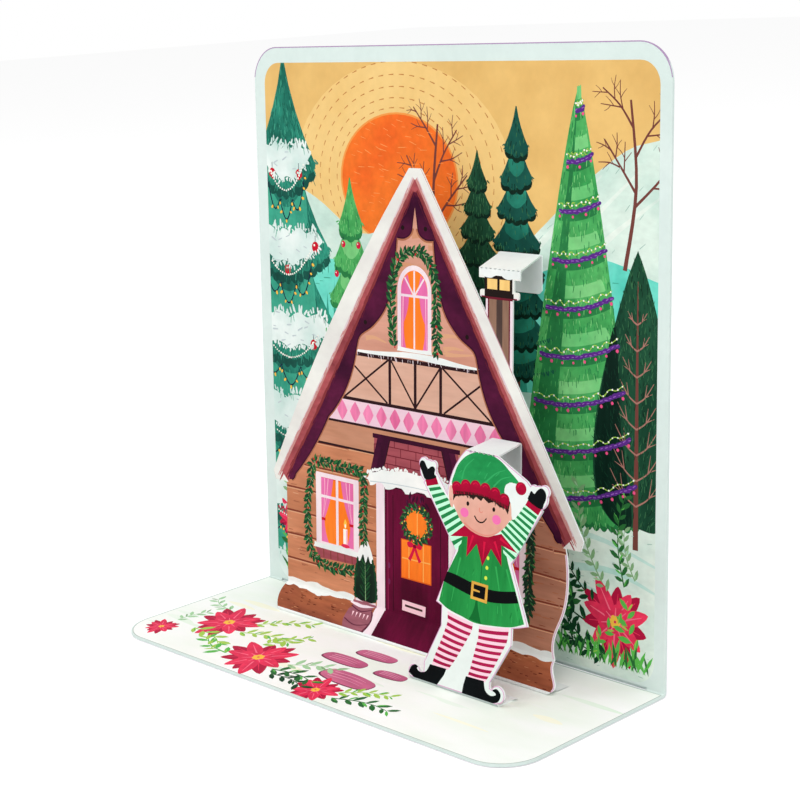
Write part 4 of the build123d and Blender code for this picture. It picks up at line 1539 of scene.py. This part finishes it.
# Back scene, in mm across from the middle and up from the fold
backdrop = {
    "border": (-62.6, 63.4, 1.0, 136.2, 5.2),  # left, right, foot, head, corner radius
    "leafArea": (-62.4, 63.2, 1.2, 136.0),  # left, right, foot and head of what may grow there
    "sun": (-14.5, 108.5, 19.5, 15.5),  # middle, half width, half height
    "dashRings": (1.1, 1.25, 1.42, 1.6, 1.8),  # in sun radii
    "snowyFir": {"x": -55.5, "foot": -3, "height": 140, "reach": 35, "tiers": 6,
        "inks": ("firTeal", "firTealDeep", "firTealLight")},
    "leftFir": {"x": -31.5, "foot": 58, "height": 50, "reach": 12, "tiers": 5,
        "inks": ("firGreen", "firGreenDeep", "firGreenLight")},
    "darkFirs": (
        {"x": 11.5, "foot": 74, "height": 42, "reach": 10, "tiers": 7,
            "inks": ("firDark", "firDarkest", "firDark")},
        {"x": 23.5, "foot": 66, "height": 60, "reach": 12, "tiers": 8,
            "inks": ("firTealDeep", "firDarkest", "firTeal")},
    ),
    "swaggedFir": (41.5, 37, 94, 17.5, 9),  # middle, foot, height, half width, swags
    "ogee": (58.0, 36.0, 60.0, 12.0),  # the dark fir at the edge: middle, foot, height, half width
    "bareTrees": ((54.5, 92, 36, -2, 14), (1.0, 84, 38, 3, 23)),  # middle, foot, height, lean, seed
    "blooms": ((52.5, 13.5, 9.6, 12), (-56.2, 17.5, 6.0, 20)),
    "stems": (  # x, y, length, turn, leaf ink, leaf length
        (50, 20, 24, 104, "leafSage", 3.2),
        (55, 22, 20, 84, "leafGreen", 3.2),
        (46, 17, 20, 118, "leafDeep", 3.4),
        (58, 24, 11, 100, "leafSage", 2.8),
        (45, 6, 16, 122, "leafDeep", 4.4),
        (41, 5, 14, 92, "leafDeep", 4.4),
        (37, 5, 12, 70, "leafGreen", 4.0),
        (46, 5, 11, 42, "leafBright", 3.6),
        (50, 5, 10, 160, "leafDeep", 4.2),
        (58, 8, 9, 96, "leafBright", 4.0),
        (44, 12, 12, 140, "leafDeep", 4.0),
        (-56, 6, 9, 70, "leafDeep", 3.6),
        (-53, 5, 9, 120, "leafGreen", 3.6),
        (-57, 24, 9, 88, "leafSage", 3.0),
    ),
    "grass": ((36, 62, 3), (-59, -49, 3.4)),  # from, to, height of the foot
}


def tierAt(tree, k):
    # hem height, half width and rise of one tier
    rise = tree["height"] / (tree["tiers"] + 0.5)
    return tree["foot"] + rise * (0.3 + k), tree["reach"] * (1 - 0.8 * k / tree["tiers"]), rise


def hemLine(tree, k, lift=0.0, spread=1.0, swags=0, count=13):
    # a line across a tier that sags like its hem, lifted by a share of the rise; it may hang in swags
    low, half, rise = tierAt(tree, k)
    line = []
    for j in range(count):
        t = 2 * j / (count - 1) - 1
        ripple = -0.2 * abs(sin(pi * swags * (t + 1) / 2))
        line.append((tree["x"] + half * spread * t, low + rise * (lift + ripple - 0.3 * (1 - t * t))))
    return line


def firTree(tree, seed):
    # tiers from the ground up: each a skirt with hollow sides and a scalloped hem, dark beneath
    draw = random.Random(seed)
    x, (body, deep, light) = tree["x"], tree["inks"]
    yield "barkBrown", stroke([(x, tree["foot"] - 3), (x, tree["foot"] + 8)], tree["reach"] * 0.16)
    for k in range(tree["tiers"]):
        low, half, rise = tierAt(tree, k)
        last = k == tree["tiers"] - 1
        top, neck = low + rise * 1.25, 0.15 if last else half * 0.24
        count = max(3, round(half / 1.3))
        hem = []
        for j in range(count + 1):
            t = 2 * j / count - 1
            y = low - rise * 0.3 * (1 - t * t) + draw.uniform(-0.3, 0.3)
            hem.append((x + half * t, y, -half / count * draw.uniform(0.4, 0.8)))
        side = half * 0.12
        outline = bowed(hem[:-1] + [(*hem[-1][:2], side), (x + neck, top), (x - neck, top, side)], steps=4)
        yield deep, [(p[0], p[1] - min(rise * 0.16, 2.2)) for p in outline]
        yield body, outline
        if not last:
            glow = between(hemLine(tree, k, 0.34, 0.5, count=7), hemLine(tree, k, 0.78, 0.42, count=7))
            yield light, soft(glow, steps=2)


def snowLines(tree, k):
    # lower and upper edge of the snow on a tier: thick in the middle, nothing at the ends
    low, half, rise = tierAt(tree, k)
    foot, crest = [], []
    for j in range(15):
        t = 2 * j / 14 - 1
        fall = rise * 0.3 * (1 - t * t)
        wave = rise * 0.035 * sin(4.3 * j + 2 * k)
        x = tree["x"] + half * 0.86 * t
        foot.append((x, low + rise * 0.12 - fall + wave * (1 - t * t)))
        crest.append((tree["x"] + half * (0.86 - 0.12 * (1 - t * t)) * t,
            low + rise * (0.12 + 0.38 * (1 - abs(t) ** 3)) - fall + wave))
    return foot, crest


def coneHalf(t):
    # half width of the swagged fir a share t of the way up
    return backdrop["swaggedFir"][3] * (1 - t) ** 0.82


def swagLine(k, drop=0.0, waves=0):
    # garlands hang across the cone, a little lower on the left
    x, foot, height, _, count = backdrop["swaggedFir"]
    t = (k + 0.5) / count
    half = coneHalf(t)
    line = []
    for j in range(15):
        s = 2 * j / 14 - 1
        ripple = 0.5 * sin(pi * waves * s)
        line.append((x + (half - 0.7) * s * (1 - 0.02 * s),
            foot + height * t + half * (0.16 * s - 0.14 * (1 - s * s)) - drop + ripple))
    return line


def swaggedCone():
    x, foot, height, reach, count = backdrop["swaggedFir"]
    side = [(coneHalf(t / 20), foot + height * t / 20) for t in range(20)]
    hem = [(x - reach + 2 * reach * k / 16, foot - 1.8 * sin(pi * k / 16), -0.9) for k in range(17)]
    outline = bowed(hem, closed=False, steps=4) + [(x + u, v) for u, v in side[1:]] + [(x, foot + height)]
    outline += [(x - u, v) for u, v in side[:0:-1]]
    yield "firGreenDeep", [(p[0], p[1] - 1.2) for p in outline]
    yield "firGreen", outline
    for k in range(count):
        glow = between(swagLine(k, -2.4)[3:-1], swagLine(k, -5.2)[4:-2])
        yield "firGreenLight", soft(glow, steps=2)
        yield "firGreenDeep", stroke(swagLine(k, 1.3), 1.7, 1.5)
    yield "firGreenDeep", bowed([(x - reach, foot, 0), (x - reach * 0.45, foot - 1, 0),
        (x, foot + height - 1, 1.2)])


def ogeeFir():
    # a dark fir of one swelling shape, with its trunk and twigs drawn in pale lines
    x, foot, height, reach = backdrop["ogee"]
    side = [(0.02, 1), (0.24, 0.9), (0.52, 0.73), (0.84, 0.5), (1, 0.28), (0.92, 0.1), (0.5, 0)]
    outline = [(x + u * reach, foot + v * height) for u, v in side]
    outline += [(x, foot)] + [(x - u * reach, foot + v * height) for u, v in side[::-1]]
    yield "firDark", soft(outline)
    shadow = [(x - u * reach * 0.96, foot + v * height) for u, v in side[2:]]
    yield "firDarkest", soft(shadow + [(x - 1, foot + 1), (x - reach * 0.35, foot + height * 0.35)])
    yield "barkBrown", stroke([(x, foot - 5), (x + 0.1, foot + height * 0.9)], 1.5, 0.25)
    for k in range(8):
        y = foot + height * (0.08 + 0.095 * k)
        length = reach * 0.6 * (1 - k / 11)
        for way in (-1, 1):
            tip = (x + way * length, y + length * 1.05)
            yield "barkLight", sweep(0.42, 0.14, (x, y), (x + way * length * 0.5, y + length * 0.34), tip)
            fork = (x + way * length * 0.5, y + length * 0.36)
            for across, rise in ((0.42, 0.2), (0.1, 0.6)):
                twig = [fork, (fork[0] + way * length * across, fork[1] + length * rise)]
                yield "barkLight", stroke(twig, 0.28, 0.1)


def bareTree(x, foot, height, lean, seed):
    # a leafless tree: a trunk and boughs that fork
    draw = random.Random(seed)

    def bough(px, py, length, turn, width, depth):
        c, s = cosSin(turn)
        bend = draw.uniform(-0.08, 0.08) * length
        middle = (px + c * length * 0.5 - s * bend, py + s * length * 0.5 + c * bend)
        line = softLine((px, py), middle, (px + c * length, py + s * length))
        yield "barkBrown", stroke(line, width, width * 0.5)
        if depth:
            for way, t in ((-1, 0.36), (1, 0.5), (-1, 0.68), (1, 0.82))[:4 if depth > 1 else 2]:
                t += draw.uniform(-0.05, 0.05)
                turned = turn + way * draw.uniform(30, 48)
                reach = length * (0.56 - 0.3 * t) * draw.uniform(0.9, 1.2)
                yield from bough(*along(line, t), reach, turned, width * (0.72 - 0.25 * t), depth - 1)

    yield from bough(x, foot, height, 90 + lean, 0.4 + height * 0.02, 3)


def paintSky():
    x, y, wide, tall = backdrop["sun"]
    yield "skyAmber", block(-70, 0, 70, 145)
    yield "skyGlow", oval(x, y, wide * 1.9, tall * 1.8, count=48)
    for ring, grow in enumerate(backdrop["dashRings"]):
        dashes = round(grow * (wide + tall))
        for k in range(dashes):
            a = 2 * pi * (k + 0.5 * (ring % 2)) / dashes
            half = 0.24 * 2 * pi / dashes
            line = [(x + grow * wide * cos(a + d), y + grow * tall * sin(a + d)) for d in (-half, 0, half)]
            yield "skyStroke", stroke(line, 0.3, 0.16)
    yield "sunHalo", oval(x, y, wide * 1.03, tall * 1.03, count=48)
    yield "sunOrange", oval(x, y, wide, tall, count=48)


def paintHills():
    yield "hillFar", soft([(-72, 60), (-70, 98), (-56, 106), (-44, 103), (-28, 95), (-12, 98), (2, 92),
        (16, 88), (30, 99), (46, 112), (60, 119), (72, 114), (72, 60)])
    for line in ([(26, 92), (36, 101), (48, 112)], [(33, 90), (44, 101), (58, 113)],
            [(42, 92), (52, 100), (64, 108)], [(-66, 94), (-56, 100), (-44, 97)]):
        yield "hillNear", sweep(2.2, 0.4, *line)
    yield "lakeTeal", soft([(-72, 50), (-72, 84), (-40, 88), (-5, 85), (24, 88), (44, 94), (60, 91), (72, 84),
        (72, 50)])
    draw = random.Random(5)
    for x0, x1, y in ((-66, -20, 80), (4, 68, 74)):
        x = x0
        while x < x1:
            top, half = y + draw.uniform(-2, 7), draw.uniform(2, 3.4)
            yield "ridgeTeal", bowed([(x, top, 0.4), (x - half, y - 22), (x + half, y - 22, 0.4)])
            x += draw.uniform(2.4, 4.4)
    yield "hillBlue", soft([(-72, 10), (-72, 62), (-44, 66), (-10, 64), (24, 62), (48, 64), (72, 56),
        (72, 10)])
    yield "hillNear", soft([(-72, -8), (-72, 36), (-50, 42), (-16, 46), (20, 43), (44, 46), (72, 40),
        (72, -8)])
    for line in ([(12, 37), (34, 41), (58, 36)], [(30, 30), (46, 32), (64, 28)],
            [(8, 17), (30, 21), (58, 18)], [(40, 24), (52, 25), (64, 22)]):
        yield "hillBlue", sweep(2, 0.5, *line)


def baubles(tree, tiers, ink, size, lift):
    for k in tiers:
        line = hemLine(tree, k, lift, 0.66, count=7)
        for x, y in (line[1], line[5]) if k % 2 else (line[0], line[3], line[6]):
            yield "cordNavy", stroke([(x, y), (x, y + size * 2.2)], 0.2)
            yield ink, oval(x, y, size, size * 1.08, count=14)
            yield "beadWhite", oval(x - size * 0.3, y + size * 0.35, size * 0.24, count=8)


cordHang = (0.84, 0.44, 3, 31)  # lift, spread, swags and points of a cord of lights


def paintBack():
    yield from paintSky()
    yield from paintHills()
    for x, foot, height, lean, seed in backdrop["bareTrees"]:
        yield from bareTree(x, foot, height, lean, seed)
    for k, tree in enumerate(backdrop["darkFirs"]):
        yield from firTree(tree, 50 + k)
    yield from firTree(backdrop["leftFir"], 40)
    yield from baubles(backdrop["leftFir"], range(4), "trimBright", 0.8, 0.6)
    yield from swaggedCone()
    yield from ogeeFir()
    snowy = backdrop["snowyFir"]
    yield from firTree(snowy, 41)
    for k in range(snowy["tiers"]):
        foot, crest = snowLines(snowy, k)
        yield "snowTier", between(softLine(*foot), softLine(*crest))
    for k in range(snowy["tiers"] - 1):
        yield "cordNavy", stroke(hemLine(snowy, k, *cordHang), 0.4)
    yield from baubles(snowy, range(6), "berryRed", 1.3, 0.04)
    yield from paintStems(backdrop["stems"])
    for x, y, reach, turn in backdrop["blooms"]:
        yield from bloom(x, y, reach, turn)


def needles(shown, tree, light, dark, length, density=0.3):
    # needle strokes over a fir, combed away from its top, and a fringe along each hem
    x, half, top = tree["x"], tree["reach"] + 2, tree["foot"] + tree["height"]
    box = (x - half, x + half, tree["foot"] - 4, top + 1)
    crown = (x, top + 6)
    body, deep, glow = tree["inks"]
    hems = [hemLine(tree, k, 0.06, 0.96, count=21) for k in range(tree["tiers"])]
    return [
        strew(showing(shown, body, *box), dark, density, length, 0.3, fanFrom=crown),
        strew(showing(shown, body, *box), light, density, length * 0.9, 0.26, fanFrom=crown),
        strew(showing(shown, glow, *box), light, density, length * 0.9, 0.26, fanFrom=crown),
        strew(showing(shown, deep, *box), body, density * 0.6, length * 0.8, 0.26, fanFrom=crown),
        row(hems, brushDash, body, 0.7, length * 0.8, 0.5, turn=-90, sway=0.4, vary=0.5),
        row(hems, brushDash, light, 2.3, length * 0.6, 0.28, turn=-90, sway=0.4, vary=0.5, lift=0.01),
    ]


def snowyFirMarks(shown):
    tree = backdrop["snowyFir"]
    yield from needles(shown, tree, "needleTeal", "needleTealDeep", 2.6, 0.34)
    edges = [snowLines(tree, k) for k in range(tree["tiers"])]
    crests, feet = [crest[1:-1] for _, crest in edges], [foot[1:-1] for foot, _ in edges]
    yield row(crests, brushDash, "snowTier", 0.8, 2.4, 0.9, turn=90, sway=0.7, vary=0.6, aside=0.5, lift=0.03)
    yield row(feet, brushDash, "snowTier", 0.8, 1.6, 0.8, turn=-90, sway=0.5, vary=0.6, aside=0.3, lift=0.03)
    snow = showing(shown, "snowTier")
    yield strew(snow, "snowShade", 0.05, 2.4, 0.5, sway=0.5, lift=0.03, neat=True)
    cords = [hemLine(tree, k, *cordHang) for k in range(tree["tiers"] - 1)]
    yield row(cords, brushDash, "cordNavy", 0.5, 0.8, 0.34, sway=0.05, vary=0.1, lift=0.03)
    yield row(cords, brushBead, "beadGold", 2.4, 1.2, 0.8, turn=-90, lift=0.05)
    pearls = [hemLine(tree, k, 0.98, 0.42) for k in range(tree["tiers"] - 1)]
    yield row(pearls, brushBead, "beadWhite", 0.8, 0.65, 0.65, lift=0.04)


def swaggedConeMarks(shown):
    x, foot, height, reach, count = backdrop["swaggedFir"]
    for ink, dash, density in (
        ("firGreen", "needleGreen", 0.34),
        ("firGreen", "needleGreenDeep", 0.4),
        ("firGreenLight", "needleGreenDeep", 0.12),
        ("firGreenDeep", "firGreen", 0.2),
    ):
        area = showing(shown, ink, x - reach - 1, x + reach + 1, foot - 3, foot + height)
        yield strew(area, dash, density, 1.9, 0.26, fanFrom=(x, foot + height + 10))
    swags = [swagLine(k) for k in range(count)]
    yield row(swags, brushDash, "garlandViolet", 0.55, 1.5, 1.25, sway=0.35, vary=0.25, lift=0.03)
    yield row(swags, brushDash, "garlandLilac", 1.3, 1.1, 0.3, sway=0.3, lift=0.05)
    chains = [softLine(*swagLine(k, -1.5, 6)) for k in range(count)]
    yield row(chains, brushDash, "leafLime", 0.5, 0.8, 0.26, sway=0.05, vary=0.1, lift=0.03)
    yield row(chains, brushBead, "beadWhite", 1.5, 0.55, 0.55, lift=0.05)
    yield row([swagLine(k, 1.2) for k in range(count)], brushBead, "berryPink", 3.1, 0.9, 0.9, lift=0.05)


def ogeeFirMarks(shown):
    x, foot, height, reach = backdrop["ogee"]
    for ink, dash in (("firDark", "needleDark"), ("firDark", "needleDarkDeep"), ("firDarkest", "firDark")):
        area = showing(shown, ink, x - reach - 1, x + reach + 1, foot - 1, foot + height + 1)
        yield strew(area, dash, 0.45, 1.8, 0.2, fanFrom=(x, foot - 8), sway=0.4)


def backGreenery(shown):
    yield from snowyFirMarks(shown)
    yield from swaggedConeMarks(shown)
    yield from ogeeFirMarks(shown)
    yield from needles(shown, backdrop["leftFir"], "needleGreen", "needleGreenDeep", 1.8)
    for tree in backdrop["darkFirs"]:
        yield from needles(shown, tree, "needleDark", "needleDarkDeep", 1.6)
    yield strew(showing(shown, "sunOrange"), "sunStroke", 0.1, 3.0, 0.22, turn=-12, neat=True)
    yield strew(showing(shown, "hillNear", y1=60), "hillStroke", 0.03, 1.6, 0.22)
    yield strew(showing(shown, "hillFar", x0=20), "hillStroke", 0.04, 2.4, 0.2, turn=40)
    yield strew(showing(shown, "lakeTeal"), "needleTeal", 0.04, 3.0, 0.3, sway=0.05, neat=True)
    for x0, x1, y in backdrop["grass"]:
        tuft = [[(x0, y), (x1, y)]]
        yield row(tuft, brushLeaf, "leafBright", 0.8, 7.5, 1.3, fan=16, turn=90, sway=0.35, vary=0.6)
        yield row(tuft, brushLeaf, "leafGreen", 1.5, 6.5, 1.0, fan=24, turn=90, sway=0.4, vary=0.6, lift=0.01)
    yield from leafRows(backdrop["stems"])


def wallMarks(shown):
    # strokes along the boards, ragged snow and the streaks along the roof
    for ink, dash, density, long, wide in house["wallStrokes"]:
        yield strew(showing(shown, ink), dash, density, long, wide, sway=0.04, neat=True)
    yield row([house["ledge"]], brushDash, "framePale", 0.9, 1.5, 0.26, turn=-82, sway=0.5, vary=0.9,
        aside=0.4)
    ragged = softLine(*[p[:2] for p in house["doorSnow"]])
    yield row([ragged], brushBead, "snowWhite", 0.5, 1.3, 0.9, sway=1.5, vary=0.5, aside=0.35)
    for side in (-1, 1):
        for band, ink, shift, spacing in house["roofStrokes"]:
            moved = [(p[0] + side * shift, p[1] + shift) for p in slope(side, band)]
            yield row([moved], brushDash, ink, spacing, 2.8, 0.34, sway=0.05, aside=0.32)


def plinthMarks(shown):
    stone = showing(shown, "plinthStone")
    yield strew(stone, "stoneMark", 0.2, 1.3, 0.26, sway=0.1, neat=True)
    yield strew(stone, "stoneLight", 0.08, 1.6, 0.24, sway=0.05, neat=True)


def figureMarks(shown):
    yield strew(showing(shown, "tunicGreen"), "tunicStroke", 0.06, 2.2, 0.3, turn=80, neat=True)
    yield strew(showing(shown, "tunicGreen"), "tunicDeep", 0.03, 1.6, 0.16, turn=80, neat=True)
    yield strew(showing(shown, "hatGreen"), "hatStroke", 0.12, 1.9, 0.3, turn=50, neat=True)
    yield row([figure["fringe"]], brushDash, "hairBrown", 0.36, 1.7, 0.3, turn=-72, sway=0.4, vary=0.5)


def bendFace():
    # the strip that spans the crease, from the film above it to the one below it
    left, right, reach = house["bend"]
    top = houseFace @ Vector((0, reach, 0)) / mm
    foot = plinthFace @ Vector((0, plinthLength - reach, 0)) / mm
    rise = top - foot
    lean = degrees(atan2(rise.y, rise.z))
    return sheetFace(sheets["houseOffset"], foot.y, foot.z, lean), block(left, 0, right, rise.length)


# Lays every print on its sheet, then the marks over it
edgeLine = {"from": 131.5, "width": 0.24, "area": (-80, 100, 80, 150)}  # the tint on the cut top edge
baseLoops = [inset(loop, base["margin"]) for loop in cardOutline("card_folder", baseFace)]
houseLoops = cardOutline("house_front", houseFace)
plinthLoops = cardOutline("house_front", plinthFace)
figureLoops = cardOutline("elf_figure", figureFace)
outlines = (baseLoops, houseLoops, plinthLoops, figureLoops)
print("outlines:", [[len(loop) for loop in loops] for loops in outlines])

border = roundedBlock(*backdrop["border"])
backShown = printFilm("back_print", [border], paintBack(), panelFace)
printFilm("base_print", baseLoops, paintBase(baseLoops[0]), baseFace)
housePaint = [*paintHouse(), *paintRims(houseLoops[0], house["rimArea"], house["rims"])]
houseShown = printFilm("house_print", houseLoops, housePaint, houseFace)
crease, creaseStrip = bendFace()
printFilm("crease_print", [creaseStrip], paintBend(), crease)
plinthRims = paintRims(plinthLoops[0], house["plinthRimArea"], house["plinthRims"])
plinthPaint = [*paintPlinth(), *plinthRims]
plinthShown = printFilm("plinth_print", plinthLoops, plinthPaint, plinthFace)
figureShown = printFilm("figure_print", figureLoops, paintFigure(figureLoops[0]), figureFace)
topEdge = sorted(p for p in cardOutline("card_folder", panelFace)[0] if p[1] > edgeLine["from"])
edgePaint = [("edgeMauve", block(*edgeLine["area"]))]
printFilm("edge_line", [stroke(topEdge, edgeLine["width"])], edgePaint, panelFace)

overlay("back_greenery", backGreenery(backShown), panelFace, backdrop["leafArea"])
overlay("base_greenery", leafRows(base["stems"]), baseFace)
overlay("house_greenery", [*wallMarks(houseShown), *houseGreenery()], houseFace)
overlay("plinth_marks", plinthMarks(plinthShown), plinthFace)
overlay("figure_marks", figureMarks(figureShown), figureFace)
for brush in (brushLeaf, brushDash, brushBead):
    bpy.data.objects.remove(brush)


# Card stock: white inside and on the cut edges, with a plain print on the folder's reverse, and a grey wash
# of painted shade on the figure's forward faces
stockFinish = {
    "roughness": 0.6,
    "specular": 0.2,
    "brushwork": ("even", 0.6, 0.015),
    "topEdge": (0.1, 0.12),  # where its tint fades in, from and to
    "facing": (0.2, 0.3),  # how far a face has to look towards a side to take its print, or on the figure its painted shade
    "upright": (0.4, 0.6),
}


def cardStock(name, white, other=None, way=(0, 1, -1), edge=None):
    material, tree, shader = newFinish(name, stockFinish["roughness"], stockFinish["specular"])

    def laidOver(under, tones, mask):
        # a second wash where the mask is 1
        over = gouache(tree, *tones, *stockFinish["brushwork"])
        feeds = (("Factor", mask), (6, under), (7, over))
        return addNode(tree, "ShaderNodeMix", *feeds, data_type="RGBA").outputs[2]

    def ramp(value, low, high):
        limits = (("From Min", low), ("From Max", high))
        return addNode(tree, "ShaderNodeMapRange", ("Value", value), *limits).outputs[0]

    def facing(direction, low, high):
        normal = addNode(tree, "ShaderNodeTexCoord").outputs["Normal"]
        turned = addNode(tree, "ShaderNodeVectorMath", (0, normal), (1, direction), operation="DOT_PRODUCT")
        return ramp(turned.outputs["Value"], low, high)

    colour = gouache(tree, *white, *stockFinish["brushwork"])
    if other:
        colour = laidOver(colour, other, facing(way, *stockFinish["facing"]))
    if edge:
        spot = addNode(tree, "ShaderNodeTexCoord").outputs["Object"]
        place = addNode(tree, "ShaderNodeSeparateXYZ", (0, spot))
        upward = facing((0, 0, 1), *stockFinish["upright"])
        both = maths(tree, "MULTIPLY", ramp(place.outputs[2], *stockFinish["topEdge"]), upward)
        colour = laidOver(colour, edge, both)
    feed(tree, shader, ("Base Color", colour))
    return material


stocks = {
    "card_folder": cardStock("folderStock", ("DDEBE6", "D2E2DD"), ("D8C6DB", "CBB2CF"),
        edge=("B79CC0", "A587B2")),
    "house_front": cardStock("houseStock", ("F4F6F5", "EAEFF0")),
    # the figure's faces that look forward take a grey wash: painted shade on the strap's tab, where the strap
    # above shades it
    "elf_figure": cardStock("figureStock", ("F4F6F5", "EAEFF0"), ("BDC7C6", "B2BDBC"), (0, -1, -0.5)),
}
for node, stock in stocks.items():
    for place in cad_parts[node].material_slots:
        place.material = stock
print("card stock on", len(stocks), "sheets")


# Camera, at the photograph's angle (square frame)
camera = {
    "azimuth": 46.377,
    "elevation": 13.132,
    "roll": -3.142,
    "lens": 80.93,
    "sensor": 36,
    "clip": 0.01,
    "distance": 434.74,
    "aim": (-11.97, 21.54, 56.54),
}


def placeCamera():
    a, e, r = (radians(camera[k]) for k in ("azimuth", "elevation", "roll"))
    away = Vector((sin(a) * cos(e), -cos(a) * cos(e), sin(e)))
    right = Vector((cos(a), sin(a), 0))
    up = away.cross(right)
    right, up = right * cos(r) + up * sin(r), up * cos(r) - right * sin(r)
    spot = (Vector(camera["aim"]) + away * camera["distance"]) * mm
    lens = bpy.data.cameras.new("photoCamera")
    lens.lens = camera["lens"]
    lens.sensor_width = camera["sensor"]
    lens.clip_start = camera["clip"]
    viewer = linked("photoCamera", lens)
    viewer.matrix_world = Matrix.Translation(spot) @ Matrix((right, up, away)).transposed().to_4x4()
    bpy.context.scene.camera = viewer


placeCamera()


# Floor, light and world
studio = {
    "floorTone": 0.86,
    "floorLift": 0.34,
    "floorReach": 4,
    "floorDrop": 0.0002,
    "ambient": 0.72,
    "lampAim": (0, 0, 0.06),
    "lamps": {  # spot, size, power
        "keyLamp": ((-0.55, -0.95, 0.85), 0.45, 2.9),
        "fillLamp": ((0.95, -0.75, 0.5), 0.7, 0.9),
        "topLamp": ((0.45, -0.4, 1.2), 0.8, 5.3),
    },
}


def seenByCamera(tree):
    # 1 for rays that show the backdrop: straight, mirrored or through glass
    path = addNode(tree, "ShaderNodeLightPath").outputs
    direct = maths(tree, "MAXIMUM", path["Is Camera Ray"], path["Is Glossy Ray"])
    return maths(tree, "MAXIMUM", direct, path["Is Transmission Ray"])


def buildFloor():
    mesh = bpy.data.meshes.new("floor")
    reach, drop = studio["floorReach"], studio["floorDrop"]
    mesh.from_pydata([(x, y, -drop) for x, y in block(-reach, -reach, reach, reach)], [], [(0, 1, 2, 3)])
    material, tree, shader = newMaterial("paleFloor", 1.0, 0.0)
    tone = (studio["floorTone"],) * 3 + (1,)
    lift = maths(tree, "MULTIPLY", seenByCamera(tree), studio["floorLift"])
    feed(tree, shader, ("Base Color", tone), ("Emission Color", (1, 1, 1, 1)), ("Emission Strength", lift))
    mesh.materials.append(material)
    floor = linked("floor", mesh)


def buildWorld():
    world = bpy.data.worlds.new("paleWorld")
    bpy.context.scene.world = world
    world.use_nodes = True
    tree = world.node_tree
    levels = (("To Min", studio["ambient"]), ("To Max", 1.0))
    level = addNode(tree, "ShaderNodeMapRange", ("Value", seenByCamera(tree)), *levels)
    feed(tree, tree.nodes["Background"], ("Color", (1, 1, 1, 1)), ("Strength", level.outputs["Result"]))


def softLamp(name, spot, size, power):
    light = bpy.data.lights.new(name, "AREA")
    light.shape = "DISK"
    light.size = size
    light.energy = power
    lamp = linked(name, light)
    spot = Vector(spot)
    turn = (spot - Vector(studio["lampAim"])).to_track_quat("Z", "Y")
    lamp.matrix_world = Matrix.Translation(spot) @ turn.to_matrix().to_4x4()


buildFloor()
buildWorld()
for lamp, (spot, size, power) in studio["lamps"].items():
    softLamp(lamp, spot, size, power)
bpy.context.scene.view_settings.view_transform = "Standard"
print("camera, floor and lamps set")
